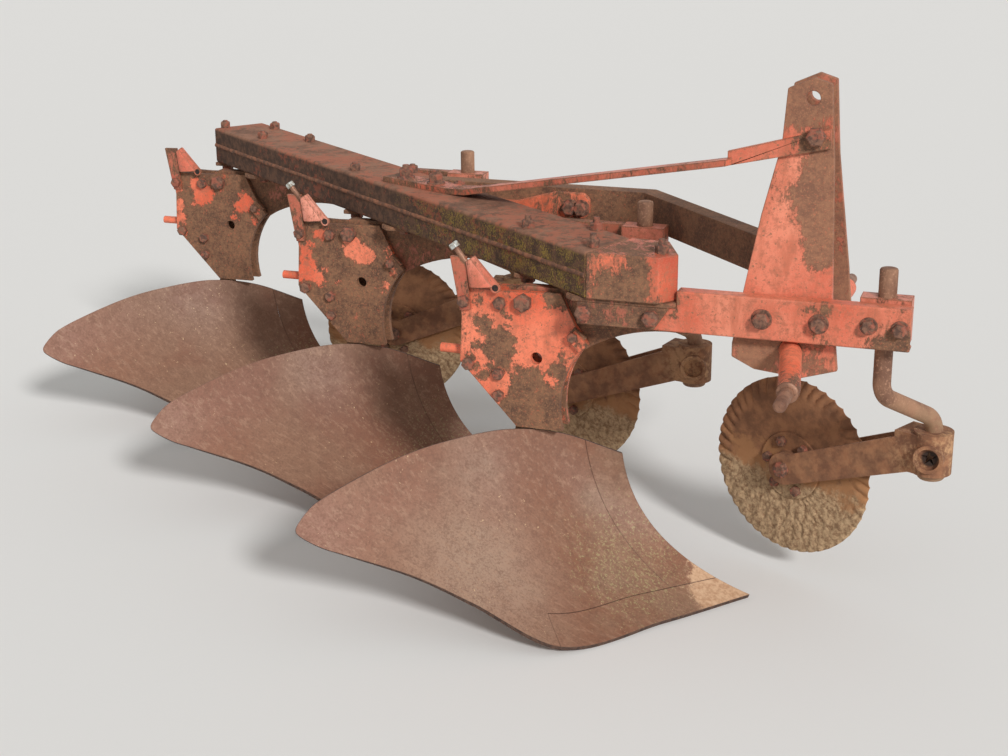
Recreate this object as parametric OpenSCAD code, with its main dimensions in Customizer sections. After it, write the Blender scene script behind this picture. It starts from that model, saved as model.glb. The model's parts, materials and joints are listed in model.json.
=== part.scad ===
// Three-furrow mounted moldboard plough with trip standards and swivelling rolling coulters.
// X points forward along the furrow, Y to the left (the unploughed side) and Z up.
// The origin is the centre of the upper link hole, midway between the two mast plates.

/* [Bottoms] */
// Width of cut of one bottom, measured across the furrow
cut_width = 406; // [390:1:430]
// Distance along the furrow from one bottom to the next
bottom_pitch = 531; // [510:1:560]
// Trip pivot of the front bottom, behind the upper link hole
pivot_back = 508; // [500:1:520]
// Trip pivot of the front bottom, to the right of the hitch centre
pivot_right = 62; // [58:1:66]
// Height of the trip pivot above the ground
pivot_height = 583; // [583:1:600]

/* [Diagonal beam] */
// Width of the box beam, across its length
beam_w = 133; // [125:1:140]
// Height of the box beam
beam_h = 85; // [80:1:95]
// Wall of the box beam
beam_wall = 10; // [6:1:14]
// Length that the beam runs on behind the rear bottom
beam_tail = 227; // [200:1:280]
// Radius of the weld seam along the beam's sides
seam_r = 3; // [2:0.5:5]

/* [Hitch] */
// Height of the upper link hole above the lower link pins
mast_height = 432; // [429:1:440]
// Clear gap between the mast plates at the top
mast_gap = 52; // [46:1:60]
// Thickness of a mast plate
mast_t = 12; // [8:1:16]
// Diameter of the upper link hole
upper_hole = 25.7; // [20:0.1:32]
// Distance between the shoulders of the two lower link pins
link_spread = 683; // [660:1:840]
// Diameter of a lower link pin
link_pin = 22.2; // [20:0.1:28.4]
// Length of a lower link pin beyond its shoulder
link_pin_len = 77; // [60:1:100]
// Diameter of the cross shaft that carries the pins
shaft_d = 38; // [34:1:40]
// Distance that the cross shaft's bent ends carry the pins forward
shaft_crank = 36; // [0:1:45]
// Height of the fore-and-aft channel
channel_h = 76; // [70:1:80]
// Thickness of the channel's web and flanges
channel_t = 7; // [5:0.5:10]
// Height of the left rail
rail_h = 73; // [60:1:80]
// Thickness of the left rail's web and flange
rail_t = 10; // [6:0.5:12]

/* [Trip standard] */
// Clear gap between the two side plates of a standard
plate_gap = 28; // [28:1:32]
// Thickness of a side plate
plate_t = 12; // [8:1:14]
// Thickness of the trip beam between the side plates
trip_beam_t = 24; // [16:1:24]
// Diameter of the trip pivot pin
pivot_d = 25; // [18:1:28]
// Radius of the open throat in front of the standard
throat_r = 178; // [170:1:184]

/* [Moldboard] */
// Thickness of the moldboard and shin
board_t = 8; // [5:0.5:10]
// Thickness of the share
share_t = 10; // [6:0.5:12]
// Depth of the landside plate
landside_h = 112; // [90:1:120]
// Thickness of the landside plate
landside_t = 10; // [6:1:12]

/* [Coulter] */
// Diameter of a coulter disc
disc_d = 356; // [330:1:380]
// Thickness of a coulter disc
disc_t = 5; // [3:0.5:8]
// Diameter of the coulter shank
shank_d = 32; // [26:0.5:34]
// Radius of the shank's two bends, at its centre line
shank_bend_r = 40; // [36:1:44]
// Distance from the swivel axis back to the disc's centre
arm_len = 306; // [300:1:330]
// Clear gap between the two cheeks of the coulter yoke
yoke_gap = 48; // [44:1:60]

/* [Hidden] */
$fn = 48;
fit = 0.05;
seat = 0.3;
BOTTOMS = [1, 2, 3];
PER_BOTTOM = [
    "beam_bracket_", "trip_beam_", "coulter_clamp_", "coulter_shank_", "standard_", "trip_adjuster_",
    "frog_", "share_", "shin_", "moldboard_", "landside_", "coulter_arm_", "coulter_disc_"
];

red_paint = "orangered";
rust = "saddlebrown";
dark_rust = "sienna";
worn_steel = "rosybrown";

// The frame of a bottom has its origin at the trip pivot, at mid thickness of the standard.
// The pivots lie just above the lower link pins.
pivot_drop = mast_height - 40;
ground = -pivot_height;
bar_y = trip_beam_t / 2;
plate_in = plate_gap / 2;
plate_out = plate_in + plate_t;
plate_top = 20;
shank_x = 660;
bar_front = shank_x + 30;

// Diagonal beam, in the frame of the front bottom: its near front corner and its run to the rear.
beam_corner = [139, -97];
beam_floor = 37;
beam_angle = atan2(cut_width, -bottom_pitch);
step_len = norm([bottom_pitch, cut_width]);
beam_len = 2 * step_len + beam_tail;
beam_mitre = 40;
bracket_t = 9;
bracket_floor = beam_floor - bracket_t;

// Fore-and-aft channel, in the frame of the front bottom.
channel_top = 59;
channel_right = -77;
channel_depth = 32;
channel_rear = 300;
channel_front = shank_x + 48;
hanger_t = 10;
hanger_rear = 120;

// Mast, in the plough's own frame: bends of the plates and the faces that the rest seats on.
mast_bend_low = 102 - mast_height;
mast_bend_high = -105;
mast_top_out = mast_gap / 2 + mast_t;
mast_foot_out = pivot_right - channel_right - channel_depth;
shaft_x = -8;
brace_t = 12;
brace_w = 50;
brace_plate_t = 10;

// Left rail, in the plough's own frame. It runs along the mast plate, slants past the left front
// corner of the middle coulter's bar and then runs straight back to the beam.
rail_y = cut_width - pivot_right + 84;
rail_front_x = 40;
rail_join_x = -106;
rail_pass = [bar_front - pivot_back - bottom_pitch, cut_width - pivot_right + bar_y + 6];
rail_slope = (rail_pass[1] - mast_foot_out) / (rail_join_x - rail_pass[0]);
rail_bend_x = rail_join_x - (rail_y - mast_foot_out) / rail_slope;
rail_top = 107 - pivot_drop;
rail_flange = 40;

// Sections of a bottom's curved skin, from the shin back to the tail of the moldboard.
// Columns: share of the length, lower edge x, y, z, upper edge x, y, z, bulge across, bulge up.
skin = [
    [0.00, 428, 65, -574, 173, 54, -309, 0.90, 0.30],
    [0.25, 300, -96, -573, 62, 12, -265, 0.85, 0.31],
    [0.50, 150, -272, -566, -27, -50, -246, 0.80, 0.34],
    [0.66, -10, -296, -492, -112, -112, -254, 0.74, 0.36],
    [0.80, -120, -306, -450, -190, -196, -270, 0.66, 0.40],
    [0.92, -232, -342, -410, -276, -306, -308, 0.60, 0.45],
    [1.00, -313, -375, -380, -328, -362, -344, 0.50, 0.50]
];
share_top = 0.155;
share_end = 0.5;
tip_round = 0.95;
shin_end = 0.15;
seam = 0.0005;

// How each coulter stands. Columns: swing in degrees, shank y, clamp's right and left face.
coulter = [
    [-26, -24, channel_right + channel_depth + seat, -5],
    [-12, -35, -57, -bar_y - seat],
    [8, -35, -57, -bar_y - seat]
];
shank_top = 116;
bend_top = -90;
bend_angle = 63;
bend_run = 104;
bend_side = [92, 109];
bend_drop = 2 * shank_bend_r * sin(bend_angle) + bend_run * cos(bend_angle);
journal_top = bend_top - bend_drop;
head_top = journal_top + 2;
head_h = 80;
head_r = 36;
hub_z = -356;
hub_r = 32;
hub_gap = 2;
flange_r = 68;
flange_half = 7;
axle_d = 20;
cheek_t = 8;

// Round pocket in the swivel head: its outer and inner radius, height, turn, lip and floor. On the
// front head its floor has broken out in a ragged star.
pocket_r = [27, 20];
pocket_z = head_top - 44;
pocket_turn = 20;
pocket_lip = head_r + 5;
pocket_floor = head_r - 5;

// Moves its children from the frame of bottom n to the plough's own frame.
module at_bottom(n) {
    translate([
        -pivot_back - (n - 1) * bottom_pitch,
        -pivot_right + (n - 1) * cut_width,
        -pivot_drop
    ])
        children();
}

// Moves its children to the front corner of the diagonal beam, X running back along it.
module along_beam() {
    at_bottom(1)
        translate([beam_corner[0], beam_corner[1], beam_floor])
            rotate([0, 0, beam_angle])
                children();
}

// Side-view outline, given as x and z, made solid from y0 to y1.
module side_plate(points, y0, y1) {
    translate([0, y1, 0])
        rotate([90, 0, 0])
            linear_extrude(y1 - y0)
                polygon(points);
}

// Round bar across the plough, from y0 to y1.
module cross_bar(x, z, d, y0, y1) {
    translate([x, y0, z])
        rotate([-90, 0, 0])
            cylinder(d = d, h = y1 - y0);
}

// Points of an arc about a centre, from angle a0 to a1.
function arc(centre, r, a0, a1, steps) =
    [for (i = [0:steps]) centre + r * [cos(a0 + (a1 - a0) * i / steps), sin(a0 + (a1 - a0) * i / steps)]];

// Just clear of the left face of the diagonal beam and its seam, at a distance y to the left, in the
// plough's own frame.
function beam_left_x(y) =
    let (normal = [cut_width, bottom_pitch] / step_len, out = beam_w + seam_r + seat)
    let (corner = beam_corner + [-pivot_back, -pivot_right] + out * normal)
    corner[0] - (y - corner[1]) * bottom_pitch / cut_width;

// One value of the skin's table, smoothly between its sections.
function skin_slope(col, i) =
    let (a = max(i - 1, 0), b = min(i + 1, len(skin) - 1))
    (skin[b][col] - skin[a][col]) / (skin[b][0] - skin[a][0]);

function skin_section(s) =
    let (below = [for (i = [0:len(skin) - 2]) if (skin[i][0] <= s) i])
    below[len(below) - 1];

function skin_value(col, s) =
    let (i = skin_section(s), w = skin[i + 1][0] - skin[i][0], t = (s - skin[i][0]) / w)
    let (p = skin[i][col], q = skin[i + 1][col], dp = skin_slope(col, i) * w, dq = skin_slope(col, i + 1) * w)
    (2 * t ^ 3 - 3 * t ^ 2 + 1) * p + (t ^ 3 - 2 * t ^ 2 + t) * dp
    + (3 * t ^ 2 - 2 * t ^ 3) * q + (t ^ 3 - t ^ 2) * dq;

// Point of the skin: s runs from shin to tail, v from the lower edge to the upper one.
function skin_point(s, v) =
    let (low = [for (c = [1:3]) skin_value(c, s)], high = [for (c = [4:6]) skin_value(c, s)])
    let (across = skin_value(7, s), up = skin_value(8, s), span = high - low)
    let (bulge = low + [span[0] * across, span[1] * across, span[2] * up])
    (1 - v) ^ 2 * low + 2 * v * (1 - v) * bulge + v ^ 2 * high;

// Direction in which the soil side of the skin faces.
function skin_normal(s, v) =
    let (d = 0.004, s0 = min(s, 1 - d), v0 = min(v, 1 - d))
    let (along = skin_point(s0 + d, v0) - skin_point(s0, v0), up = skin_point(s0, v0 + d) - skin_point(s0, v0))
    let (n = cross(up, along))
    n / norm(n);

function skin_back(s, v, depth) = skin_point(s, v) - depth * skin_normal(s, v);

// Point at a depth behind the skin where that depth crosses a plane y, found by halving.
function skin_cross(y, v, depth, lo = 0, hi = 0.6, steps = 14) =
    let (mid = (lo + hi) / 2, p = skin_back(mid, v, depth))
    steps == 0 ? p :
    p[1] > y ? skin_cross(y, v, depth, mid, hi, steps - 1) : skin_cross(y, v, depth, lo, mid, steps - 1);

// Closed shell of the skin's face. Each column holds its place s, its lowest v and its highest v.
module skin_shell(columns, rows, depth) {
    cells = len(columns) - 1;
    steps = rows + 1;
    count = (cells + 1) * steps;
    spots = [
        for (c = columns, j = [0:rows]) [c[0], c[1] + (c[2] - c[1]) * j / rows]
    ];
    points = concat(
        [for (p = spots) skin_point(p[0], p[1])],
        [for (p = spots) skin_back(p[0], p[1], depth)]
    );
    faces = concat(
        [for (i = [0:cells - 1], j = [0:rows - 1]) let (a = i * steps + j) [a, a + steps, a + steps + 1]],
        [for (i = [0:cells - 1], j = [0:rows - 1]) let (a = i * steps + j) [a, a + steps + 1, a + 1]],
        [for (i = [0:cells - 1], j = [0:rows - 1]) let (a = count + i * steps + j)
            [a, a + steps + 1, a + steps]],
        [for (i = [0:cells - 1], j = [0:rows - 1]) let (a = count + i * steps + j) [a, a + 1, a + steps + 1]],
        [for (i = [0:cells - 1]) let (a = i * steps) [a, count + a, count + a + steps, a + steps]],
        [for (i = [0:cells - 1]) let (a = i * steps + rows) [a, a + steps, count + a + steps, count + a]],
        [for (j = [0:rows - 1]) [j, j + 1, count + j + 1, count + j]],
        [for (j = [0:rows - 1]) let (a = cells * steps + j) [a, count + a, count + a + 1, a + 1]]
    );
    polyhedron(points, faces, convexity = 4);
}

// Box beam: a closed tube with a weld seam along each side.
module main_beam() {
    color(dark_rust)
        along_beam() {
            difference() {
                linear_extrude(beam_h)
                    polygon([[0, 0], [beam_mitre, -beam_w], [beam_len, -beam_w], [beam_len, 0]]);
                translate([-beam_w, beam_wall - beam_w, beam_wall])
                    cube([beam_len + beam_w - beam_wall, beam_w - 2 * beam_wall, beam_h - 2 * beam_wall]);
            }
            for (y = [0, -beam_w])
                translate([y == 0 ? 1 : beam_mitre + 1, y, beam_h / 2])
                    rotate([0, 90, 0])
                        cylinder(r = seam_r, h = beam_len - beam_mitre - 2);
        }
}

// Faceted box that closes the front end of the beam.
module beam_end_cap() {
    outline = [[0, 0], [133, 0], [160, 36], [122, 127], [50, 133]];
    color(red_paint)
        at_bottom(1)
            translate([beam_corner[0] + seat, beam_corner[1], beam_floor])
                linear_extrude(beam_h)
                    polygon(outline);
}

// Channel that carries the right mast plate and the front coulter. Its web runs back under the beam.
module hitch_channel() {
    length = channel_front - channel_rear;
    color(red_paint)
        at_bottom(1) {
            translate([channel_rear, channel_right, channel_top - channel_h])
                difference() {
                    cube([length, channel_depth, channel_h]);
                    translate([-1, channel_t, channel_t])
                        cube([length + 2, channel_depth, channel_h - 2 * channel_t]);
                }
            translate([hanger_rear, channel_right, channel_top - channel_h])
                cube([channel_rear - hanger_rear, channel_t, bracket_floor - channel_top + channel_h]);
        }
}

// Plate that hangs from the front bracket and clamps the channel's web.
module channel_angle() {
    color(rust)
        at_bottom(1)
            side_plate(
                [[hanger_rear, bracket_floor], [290, bracket_floor], [262, -14], [hanger_rear, -14]],
                channel_right - hanger_t, channel_right
            );
}

// Right mast plate: upright at the foot, leaning in, and upright again at the link hole.
module mast_plate() {
    pins = -mast_height;
    color(red_paint)
        difference() {
            intersection() {
                side_plate(
                    [[-112, pins + 3], [-112, pins - 22], [-71, pins - 42], [13, pins - 51], [76, pins - 32],
                     [72, pins + 3], [62, pins + 88], [39, -70], [32, 26], [1, 36], [-44, 16], [-50, -74],
                     [-76, -201], [-97, pins + 88]],
                    -mast_foot_out - 1, 0
                );
                translate([-150, 0, 0])
                    rotate([90, 0, 90])
                        linear_extrude(300)
                            polygon([
                                [-mast_foot_out, pins - 60], [-mast_foot_out, mast_bend_low],
                                [-mast_top_out, mast_bend_high], [-mast_top_out, 60],
                                [mast_t - mast_top_out, 60], [mast_t - mast_top_out, mast_bend_high],
                                [mast_t - mast_foot_out, mast_bend_low], [mast_t - mast_foot_out, pins - 60]
                            ]);
            }
            cross_bar(0, 0, upper_hole, -mast_foot_out, 0);
            cross_bar(shaft_x, -mast_height, shaft_d + 2 * fit, -mast_foot_out - 1, 0);
        }
}

module mast_plate_right() {
    mast_plate();
}

module mast_plate_left() {
    mirror([0, 1, 0])
        mast_plate();
}

// Distance piece on the bolt below the link hole.
module mast_spacer() {
    color(rust)
        cross_bar(11, -63, 32, -mast_gap / 2, mast_gap / 2);
}

// Flat strap from the top of the beam up to the mast, with a bolted plate at its front end.
module mast_brace() {
    rear = [-940, 327];
    front = [-133, -mast_top_out - brace_plate_t / 2];
    run = norm(front - rear);
    foot = beam_floor + beam_h - pivot_drop;
    color(red_paint) {
        translate([rear[0], rear[1], 0])
            rotate([0, 0, atan2(front[1] - rear[1], front[0] - rear[0])])
                side_plate(
                    [[0, foot], [190, foot], [240, foot + 5], [run, -121], [run, -121 + brace_t],
                     [238, foot + 5 + brace_t], [190, foot + brace_t], [0, foot + brace_t]],
                    -brace_w / 2, brace_w / 2
                );
        side_plate(
            [[-143, -123], [-143, -97], [35, -49], [37, -83]],
            -mast_top_out - brace_plate_t, -mast_top_out
        );
    }
}

// Bent angle iron from the beam to the left mast plate, on edge, its flange turned out.
module left_rail() {
    turn = atan2(rail_y - mast_foot_out, rail_join_x - rail_bend_x);
    function face(off) = let (shift = off * tan(turn / 2)) [
        [rail_bend_x + shift, rail_y + off],
        [rail_join_x + shift, mast_foot_out + off]
    ];
    function band(off) = concat(
        [[beam_left_x(rail_y), rail_y]], face(0), [[rail_front_x, mast_foot_out]],
        [[rail_front_x, mast_foot_out + off], face(off)[1], face(off)[0]],
        [[beam_left_x(rail_y + off), rail_y + off]]
    );
    color(dark_rust) {
        translate([0, 0, rail_top - rail_h])
            linear_extrude(rail_h)
                polygon(band(rail_t));
        translate([0, 0, rail_top - rail_t])
            linear_extrude(rail_t)
                polygon(band(rail_flange));
    }
}

// Plate that ties the left rail to the beam.
module rail_gusset() {
    y0 = rail_y - rail_t;
    low = rail_top - 63;
    front = rail_bend_x - 116;
    color(red_paint)
        difference() {
            side_plate(
                [[beam_left_x(rail_y), low], [front - 12, low], [front, low + 12], [front, low + 43],
                 [front - 12, low + 55], [front - 76, low + 55], [front - 162, low + 30],
                 [beam_left_x(rail_y), low + 30]],
                y0, rail_y
            );
            translate([beam_left_x(y0), y0, low - 50])
                rotate([0, 0, beam_angle])
                    cube([60, 60, 200]);
        }
}

// Cross shaft under the channel, with a lower link pin at each end.
module hitch_shaft() {
    end = link_spread / 2;
    elbow = mast_foot_out + mast_t;
    tip = [shaft_crank, end - 18 - elbow];
    knuckle = 1.5;
    color(red_paint) {
        cross_bar(shaft_x, -mast_height, shaft_d, -elbow, elbow);
        for (side = [-1, 1]) {
            translate([shaft_x, side * elbow, -mast_height]) {
                sphere(d = shaft_d + knuckle);
                rotate([-side * 90, 0, 0])
                    rotate([0, atan2(tip[0], tip[1]), 0])
                        cylinder(d = shaft_d, h = norm(tip));
            }
            translate([shaft_x + shaft_crank, side * (end - 18), -mast_height]) {
                sphere(d = shaft_d + knuckle);
                rotate([-side * 90, 0, 0]) {
                    cylinder(d = shaft_d, h = 18);
                    cylinder(d = link_pin, h = 18 + link_pin_len);
                }
            }
        }
    }
}

// Plate between the beam and a bottom's trip beam, bolted up by two rows of bolts.
module beam_bracket() {
    color(rust)
        translate([0, 0, bracket_floor])
            linear_extrude(bracket_t)
                polygon([
                    [-40, 34], [-40, 70], [-28, 82], [144, 82], [300, -22], [300, -75], [288, -87],
                    [112, -87], [95, -70], [95, 34]
                ]);
}

// Trip beam: an eye on the pivot, an arched lower edge, and on the rear bottoms a bar to the coulter.
module trip_beam(n) {
    nose = n == 1 ? [[308, bracket_floor]] : [
        [bar_front, channel_top - channel_h], [bar_front, channel_top], [312, channel_top],
        [302, bracket_floor]
    ];
    eye_r = pivot_d / 2 + 15.5;
    color(rust)
        difference() {
            union() {
                side_plate(
                    concat(arc([275, -330], 292, 124, 83, 10), nose, [[0, bracket_floor], [0, -eye_r]]),
                    -bar_y, bar_y
                );
                cross_bar(0, 0, 2 * eye_r, -bar_y, bar_y);
            }
            cross_bar(0, 0, pivot_d + 2 * fit, -bar_y - 1, bar_y + 1);
        }
}

// Trip standard: two side plates held together by spacers and by the trip pivot pin.
module standard() {
    spacers = [[-115, -5], [-46, -5], [-110, -129], [-50, -144], [-50, -187]];
    outline = concat(
        [[-132, plate_top], [-45, plate_top - 2], [71, plate_top + 2], [100, -37]],
        arc([248, -200], throat_r, 134, 195, 10),
        [[-15, -247], [-128, -126], [-123, -36]]
    );
    color(red_paint) {
        difference() {
            for (y = [-plate_out, plate_in])
                side_plate(outline, y, y + plate_t);
            cross_bar(24.5, -107, 23, -plate_out - 1, plate_out + 1);
        }
        for (p = spacers)
            cross_bar(p[0], p[1], 20, -plate_in, plate_in);
        cross_bar(0, 0, pivot_d, -plate_out, plate_out);
        for (y = [-plate_out - 10, plate_out])
            side_plate([[103, -43], [128, -70], [110, -86], [85, -59]], y, y + 10);
        translate([-128, -plate_in, -122])
            cube([28, plate_gap, 22]);
        translate([-175, 0, -111])
            rotate([0, 90, 0])
                cylinder(d = 18, h = 50);
    }
}

// Strap, cone and adjusting screw of the trip at the rear of the standard; the rear screw is lost.
module trip_adjuster(n) {
    strap_t = 8;
    top = [-138, 104];
    foot = [-76, 24];
    tilt = atan2(foot[0] - top[0], top[1] - foot[1]);
    cone_r = 25;
    cone_top = 38;
    cone_end = (top[1] - plate_top - seat - cone_r * sin(tilt)) / cos(tilt);
    color(red_paint) {
        side_plate([[-142, 79], [-110, 80], [-103, -22], [-124, -24]], -plate_out - strap_t, -plate_out);
        translate([top[0], -plate_out - strap_t / 2, top[1]])
            rotate([0, 180 - tilt, 0]) {
                if (n < 3) {
                    cylinder(d = 12, h = cone_end + 2);
                    cylinder(d = 20, h = 11, $fn = 6);
                }
                translate([0, 0, cone_top])
                    cylinder(r1 = 8, r2 = cone_r, h = cone_end - cone_top);
            }
    }
}

// Frog: the casting that joins the standard, moldboard, share and landside.
module frog() {
    half = plate_in - seat;
    gap = 1;
    face = [
        for (i = [0:14])
            let (v = 0.20 + 0.80 * i / 14, p = skin_cross(-half, v, board_t + gap)) [p[0], p[2]]
    ];
    over_edge = face[14] + [0, 6];
    low = skin_cross(-half, 0.08, share_t + gap);
    color(rust) {
        side_plate(
            concat([[-60, ground + 10], [low[0] - 20, ground + 10], [low[0] - 6, low[2]]], face,
                   [over_edge, [62, -214], [-12, -214], [-40, -330]]),
            -half, half
        );
        translate([-60, half - 1, ground + 14])
            cube([250, 65 - landside_t - half + 1, 70]);
    }
}

module share() {
    color(worn_steel)
        skin_shell([for (i = [0:10]) [share_end * i / 10, 0, share_top - seam]], 3, share_t);
}

module shin() {
    color(worn_steel)
        skin_shell([for (i = [0:3]) [(shin_end - seam) * i / 3, share_top + seam, 1]], 10, board_t);
}

module moldboard() {
    start = shin_end + seam;
    step = share_end + seam;
    tail = step + seam;
    columns = concat(
        [for (i = [0:6]) [start + (step - start) * i / 6, share_top + seam, 1]],
        [for (i = [0:8]) [tail + (tip_round - tail) * i / 8, 0, 1]],
        [for (a = [20:20:80]) [tip_round + (1 - tip_round) * sin(a), 0.45 * (1 - cos(a)), 0.45 + 0.55 * cos(a)]]
    );
    color(worn_steel)
        skin_shell(columns, 9, board_t);
}

// Landside: the plate that slides along the furrow wall.
module landside() {
    top = ground + landside_h;
    color(rust)
        side_plate(
            [[-250, ground], [396, ground], [330, ground + 30], [262, top - 30], [225, top], [-210, top],
             [-250, top - 24]],
            65 - landside_t, 65
        );
}

// Clamp that holds a coulter shank to its carrier.
module coulter_clamp(n) {
    row = coulter[n - 1];
    color(red_paint)
        difference() {
            translate([shank_x - 44, row[2], -14])
                cube([88, row[3] - row[2], 80]);
            translate([shank_x, row[1], -20])
                cylinder(d = shank_d + 2 * fit, h = 100);
        }
}

// Bent round shank: down through the clamp, out to the side, and down again as the swivel journal.
module coulter_shank(n) {
    row = coulter[n - 1];
    turn = atan2(bend_side[1], bend_side[0]);
    lap = 1;
    bend_thin = 0.2;
    color(rust)
        translate([shank_x, row[1], 0]) {
            translate([0, 0, bend_top - lap])
                cylinder(d = shank_d, h = shank_top - bend_top + lap);
            rotate([0, 0, turn]) {
                translate([shank_bend_r, 0, bend_top])
                    rotate([-90, 0, 0])
                        rotate([0, 0, 180 - bend_angle])
                            rotate_extrude(angle = bend_angle)
                                translate([shank_bend_r, 0])
                                    circle(d = shank_d - bend_thin);
                translate([
                    shank_bend_r * (1 - cos(bend_angle)), 0, bend_top - shank_bend_r * sin(bend_angle)
                ])
                    rotate([0, 180 - bend_angle, 0])
                        translate([0, 0, -lap])
                            cylinder(d = shank_d, h = bend_run + 2 * lap);
                translate([reach_side() - shank_bend_r, 0, journal_top])
                    rotate([-90, 0, 0])
                        rotate([0, 0, -bend_angle])
                            rotate_extrude(angle = bend_angle)
                                translate([shank_bend_r, 0])
                                    circle(d = shank_d - bend_thin);
                translate([reach_side(), 0, head_top - head_h - 12])
                    cylinder(d = shank_d, h = journal_top - head_top + head_h + 12 + lap);
                translate([reach_side(), 0, head_top - head_h - 12])
                    cylinder(d = shank_d + 16, h = 11);
            }
        }
}

// Sideways reach of the bent shank.
function reach_side() = 2 * shank_bend_r * (1 - cos(bend_angle)) + bend_run * sin(bend_angle);

// Moves its children to the swivel axis of a coulter, turned as the coulter stands.
module at_swivel(n) {
    row = coulter[n - 1];
    turn = atan2(bend_side[1], bend_side[0]);
    translate([shank_x + reach_side() * cos(turn), row[1] + reach_side() * sin(turn), 0])
        rotate([0, 0, row[0]])
            children();
}

// Yoke: a swivel head on the journal, two cheeks and the disc's axle.
module coulter_arm(n) {
    inside = yoke_gap / 2;
    star = [for (i = [0:9]) (i % 2 == 0 ? 16 - i % 4 : 6) * [cos(36 * i + 20), sin(36 * i + 20)]];
    color(rust)
        at_swivel(n) {
            difference() {
                union() {
                    translate([0, 0, head_top - head_h])
                        cylinder(r = head_r, h = head_h);
                    rotate([0, 0, pocket_turn])
                        cross_bar(0, pocket_z, 2 * pocket_r[0], -pocket_lip, 0);
                    translate([-62, -inside - cheek_t, head_top - head_h])
                        cube([62, 2 * (inside + cheek_t), head_h - 6]);
                }
                translate([0, 0, head_top - head_h - 1])
                    cylinder(d = shank_d + 2 * fit, h = head_h + 2);
                rotate([0, 0, pocket_turn]) {
                    cross_bar(0, pocket_z, 2 * pocket_r[1], -pocket_lip - 1, -pocket_floor);
                    if (n == 1)
                        side_plate([for (p = star) p + [0, pocket_z]], -pocket_floor - 1, 0);
                }
            }
            for (y = [-inside - cheek_t, inside])
                side_plate(
                    concat([[-30, head_top - 6], [-30, head_top - head_h]],
                           arc([-arm_len, hub_z], hub_r, 290, 75, 10)),
                    y, y + cheek_t
                );
            cross_bar(-arm_len, hub_z, axle_d, -inside - cheek_t, inside + cheek_t);
        }
}

// Disc with its hub, free to turn on the yoke's axle.
module coulter_disc(n) {
    hub_half = yoke_gap / 2 - hub_gap;
    color(worn_steel)
        at_swivel(n)
            difference() {
                union() {
                    cross_bar(-arm_len, hub_z, disc_d, -disc_t / 2, disc_t / 2);
                    cross_bar(-arm_len, hub_z, 2 * flange_r, -flange_half, flange_half);
                    cross_bar(-arm_len, hub_z, 2 * hub_r, -hub_half, hub_half);
                }
                cross_bar(-arm_len, hub_z, axle_d + 2 * fit, -hub_half - 1, hub_half + 1);
            }
}

main_beam();
beam_end_cap();
hitch_channel();
channel_angle();
mast_plate_right();
mast_plate_left();
mast_spacer();
mast_brace();
left_rail();
rail_gusset();
hitch_shaft();
for (n = BOTTOMS) {
    at_bottom(n) beam_bracket();
    at_bottom(n) trip_beam(n);
    at_bottom(n) coulter_clamp(n);
    at_bottom(n) coulter_shank(n);
    at_bottom(n) standard();
    at_bottom(n) trip_adjuster(n);
    at_bottom(n) frog();
    at_bottom(n) share();
    at_bottom(n) shin();
    at_bottom(n) moldboard();
    at_bottom(n) landside();
    at_bottom(n) coulter_arm(n);
    at_bottom(n) coulter_disc(n);
}
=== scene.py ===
"""Looks of a three-furrow mounted moldboard plough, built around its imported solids."""

import json
import math

import bmesh
import bpy
from mathutils import Matrix, Vector, noise

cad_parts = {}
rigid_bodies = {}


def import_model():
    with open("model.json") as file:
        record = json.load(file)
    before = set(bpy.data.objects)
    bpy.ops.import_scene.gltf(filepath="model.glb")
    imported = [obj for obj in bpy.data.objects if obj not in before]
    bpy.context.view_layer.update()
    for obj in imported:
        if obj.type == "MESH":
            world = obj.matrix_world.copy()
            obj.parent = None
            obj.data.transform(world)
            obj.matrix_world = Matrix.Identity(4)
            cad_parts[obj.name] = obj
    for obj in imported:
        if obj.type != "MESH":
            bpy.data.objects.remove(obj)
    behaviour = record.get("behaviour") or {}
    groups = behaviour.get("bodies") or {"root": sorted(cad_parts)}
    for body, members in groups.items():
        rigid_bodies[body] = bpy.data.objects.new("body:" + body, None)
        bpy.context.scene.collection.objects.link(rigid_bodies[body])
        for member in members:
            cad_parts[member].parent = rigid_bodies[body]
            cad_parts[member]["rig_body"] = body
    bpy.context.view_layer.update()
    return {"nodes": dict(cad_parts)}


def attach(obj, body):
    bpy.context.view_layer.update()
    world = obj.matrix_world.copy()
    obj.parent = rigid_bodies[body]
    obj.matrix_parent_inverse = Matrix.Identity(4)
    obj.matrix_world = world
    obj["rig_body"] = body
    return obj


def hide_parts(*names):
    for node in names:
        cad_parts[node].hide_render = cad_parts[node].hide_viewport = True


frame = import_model()

# Camera, floor and light.
# The camera stands where the photograph was taken, 3 m from the hitch and looking down on it.
# The floor is plain and pale, under one soft sun from the right front and an even sky.
GROUND = -0.975
PHOTO_YAW = 19.0
PHOTO_PITCH = 18.3
PHOTO_ROLL = 0.42
PHOTO_PLACE = (0.443, -2.965, 0.462)
SUN_WAY = (-0.60, 0.66, -0.50)

camera = bpy.data.objects.new("camera", bpy.data.cameras.new("camera"))
camera.data.lens = 60.54
camera.data.sensor_width = 36.0
camera.data.clip_end = 60.0
camera.matrix_world = (
    Matrix.Translation(PHOTO_PLACE)
    @ Matrix.Rotation(math.radians(PHOTO_YAW), 4, "Z")
    @ Matrix.Rotation(math.radians(90 - PHOTO_PITCH), 4, "X")
    @ Matrix.Rotation(math.radians(-PHOTO_ROLL), 4, "Z")
)
bpy.context.scene.collection.objects.link(camera)
bpy.context.scene.camera = camera
bpy.context.scene.view_settings.view_transform = "Standard"

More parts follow.
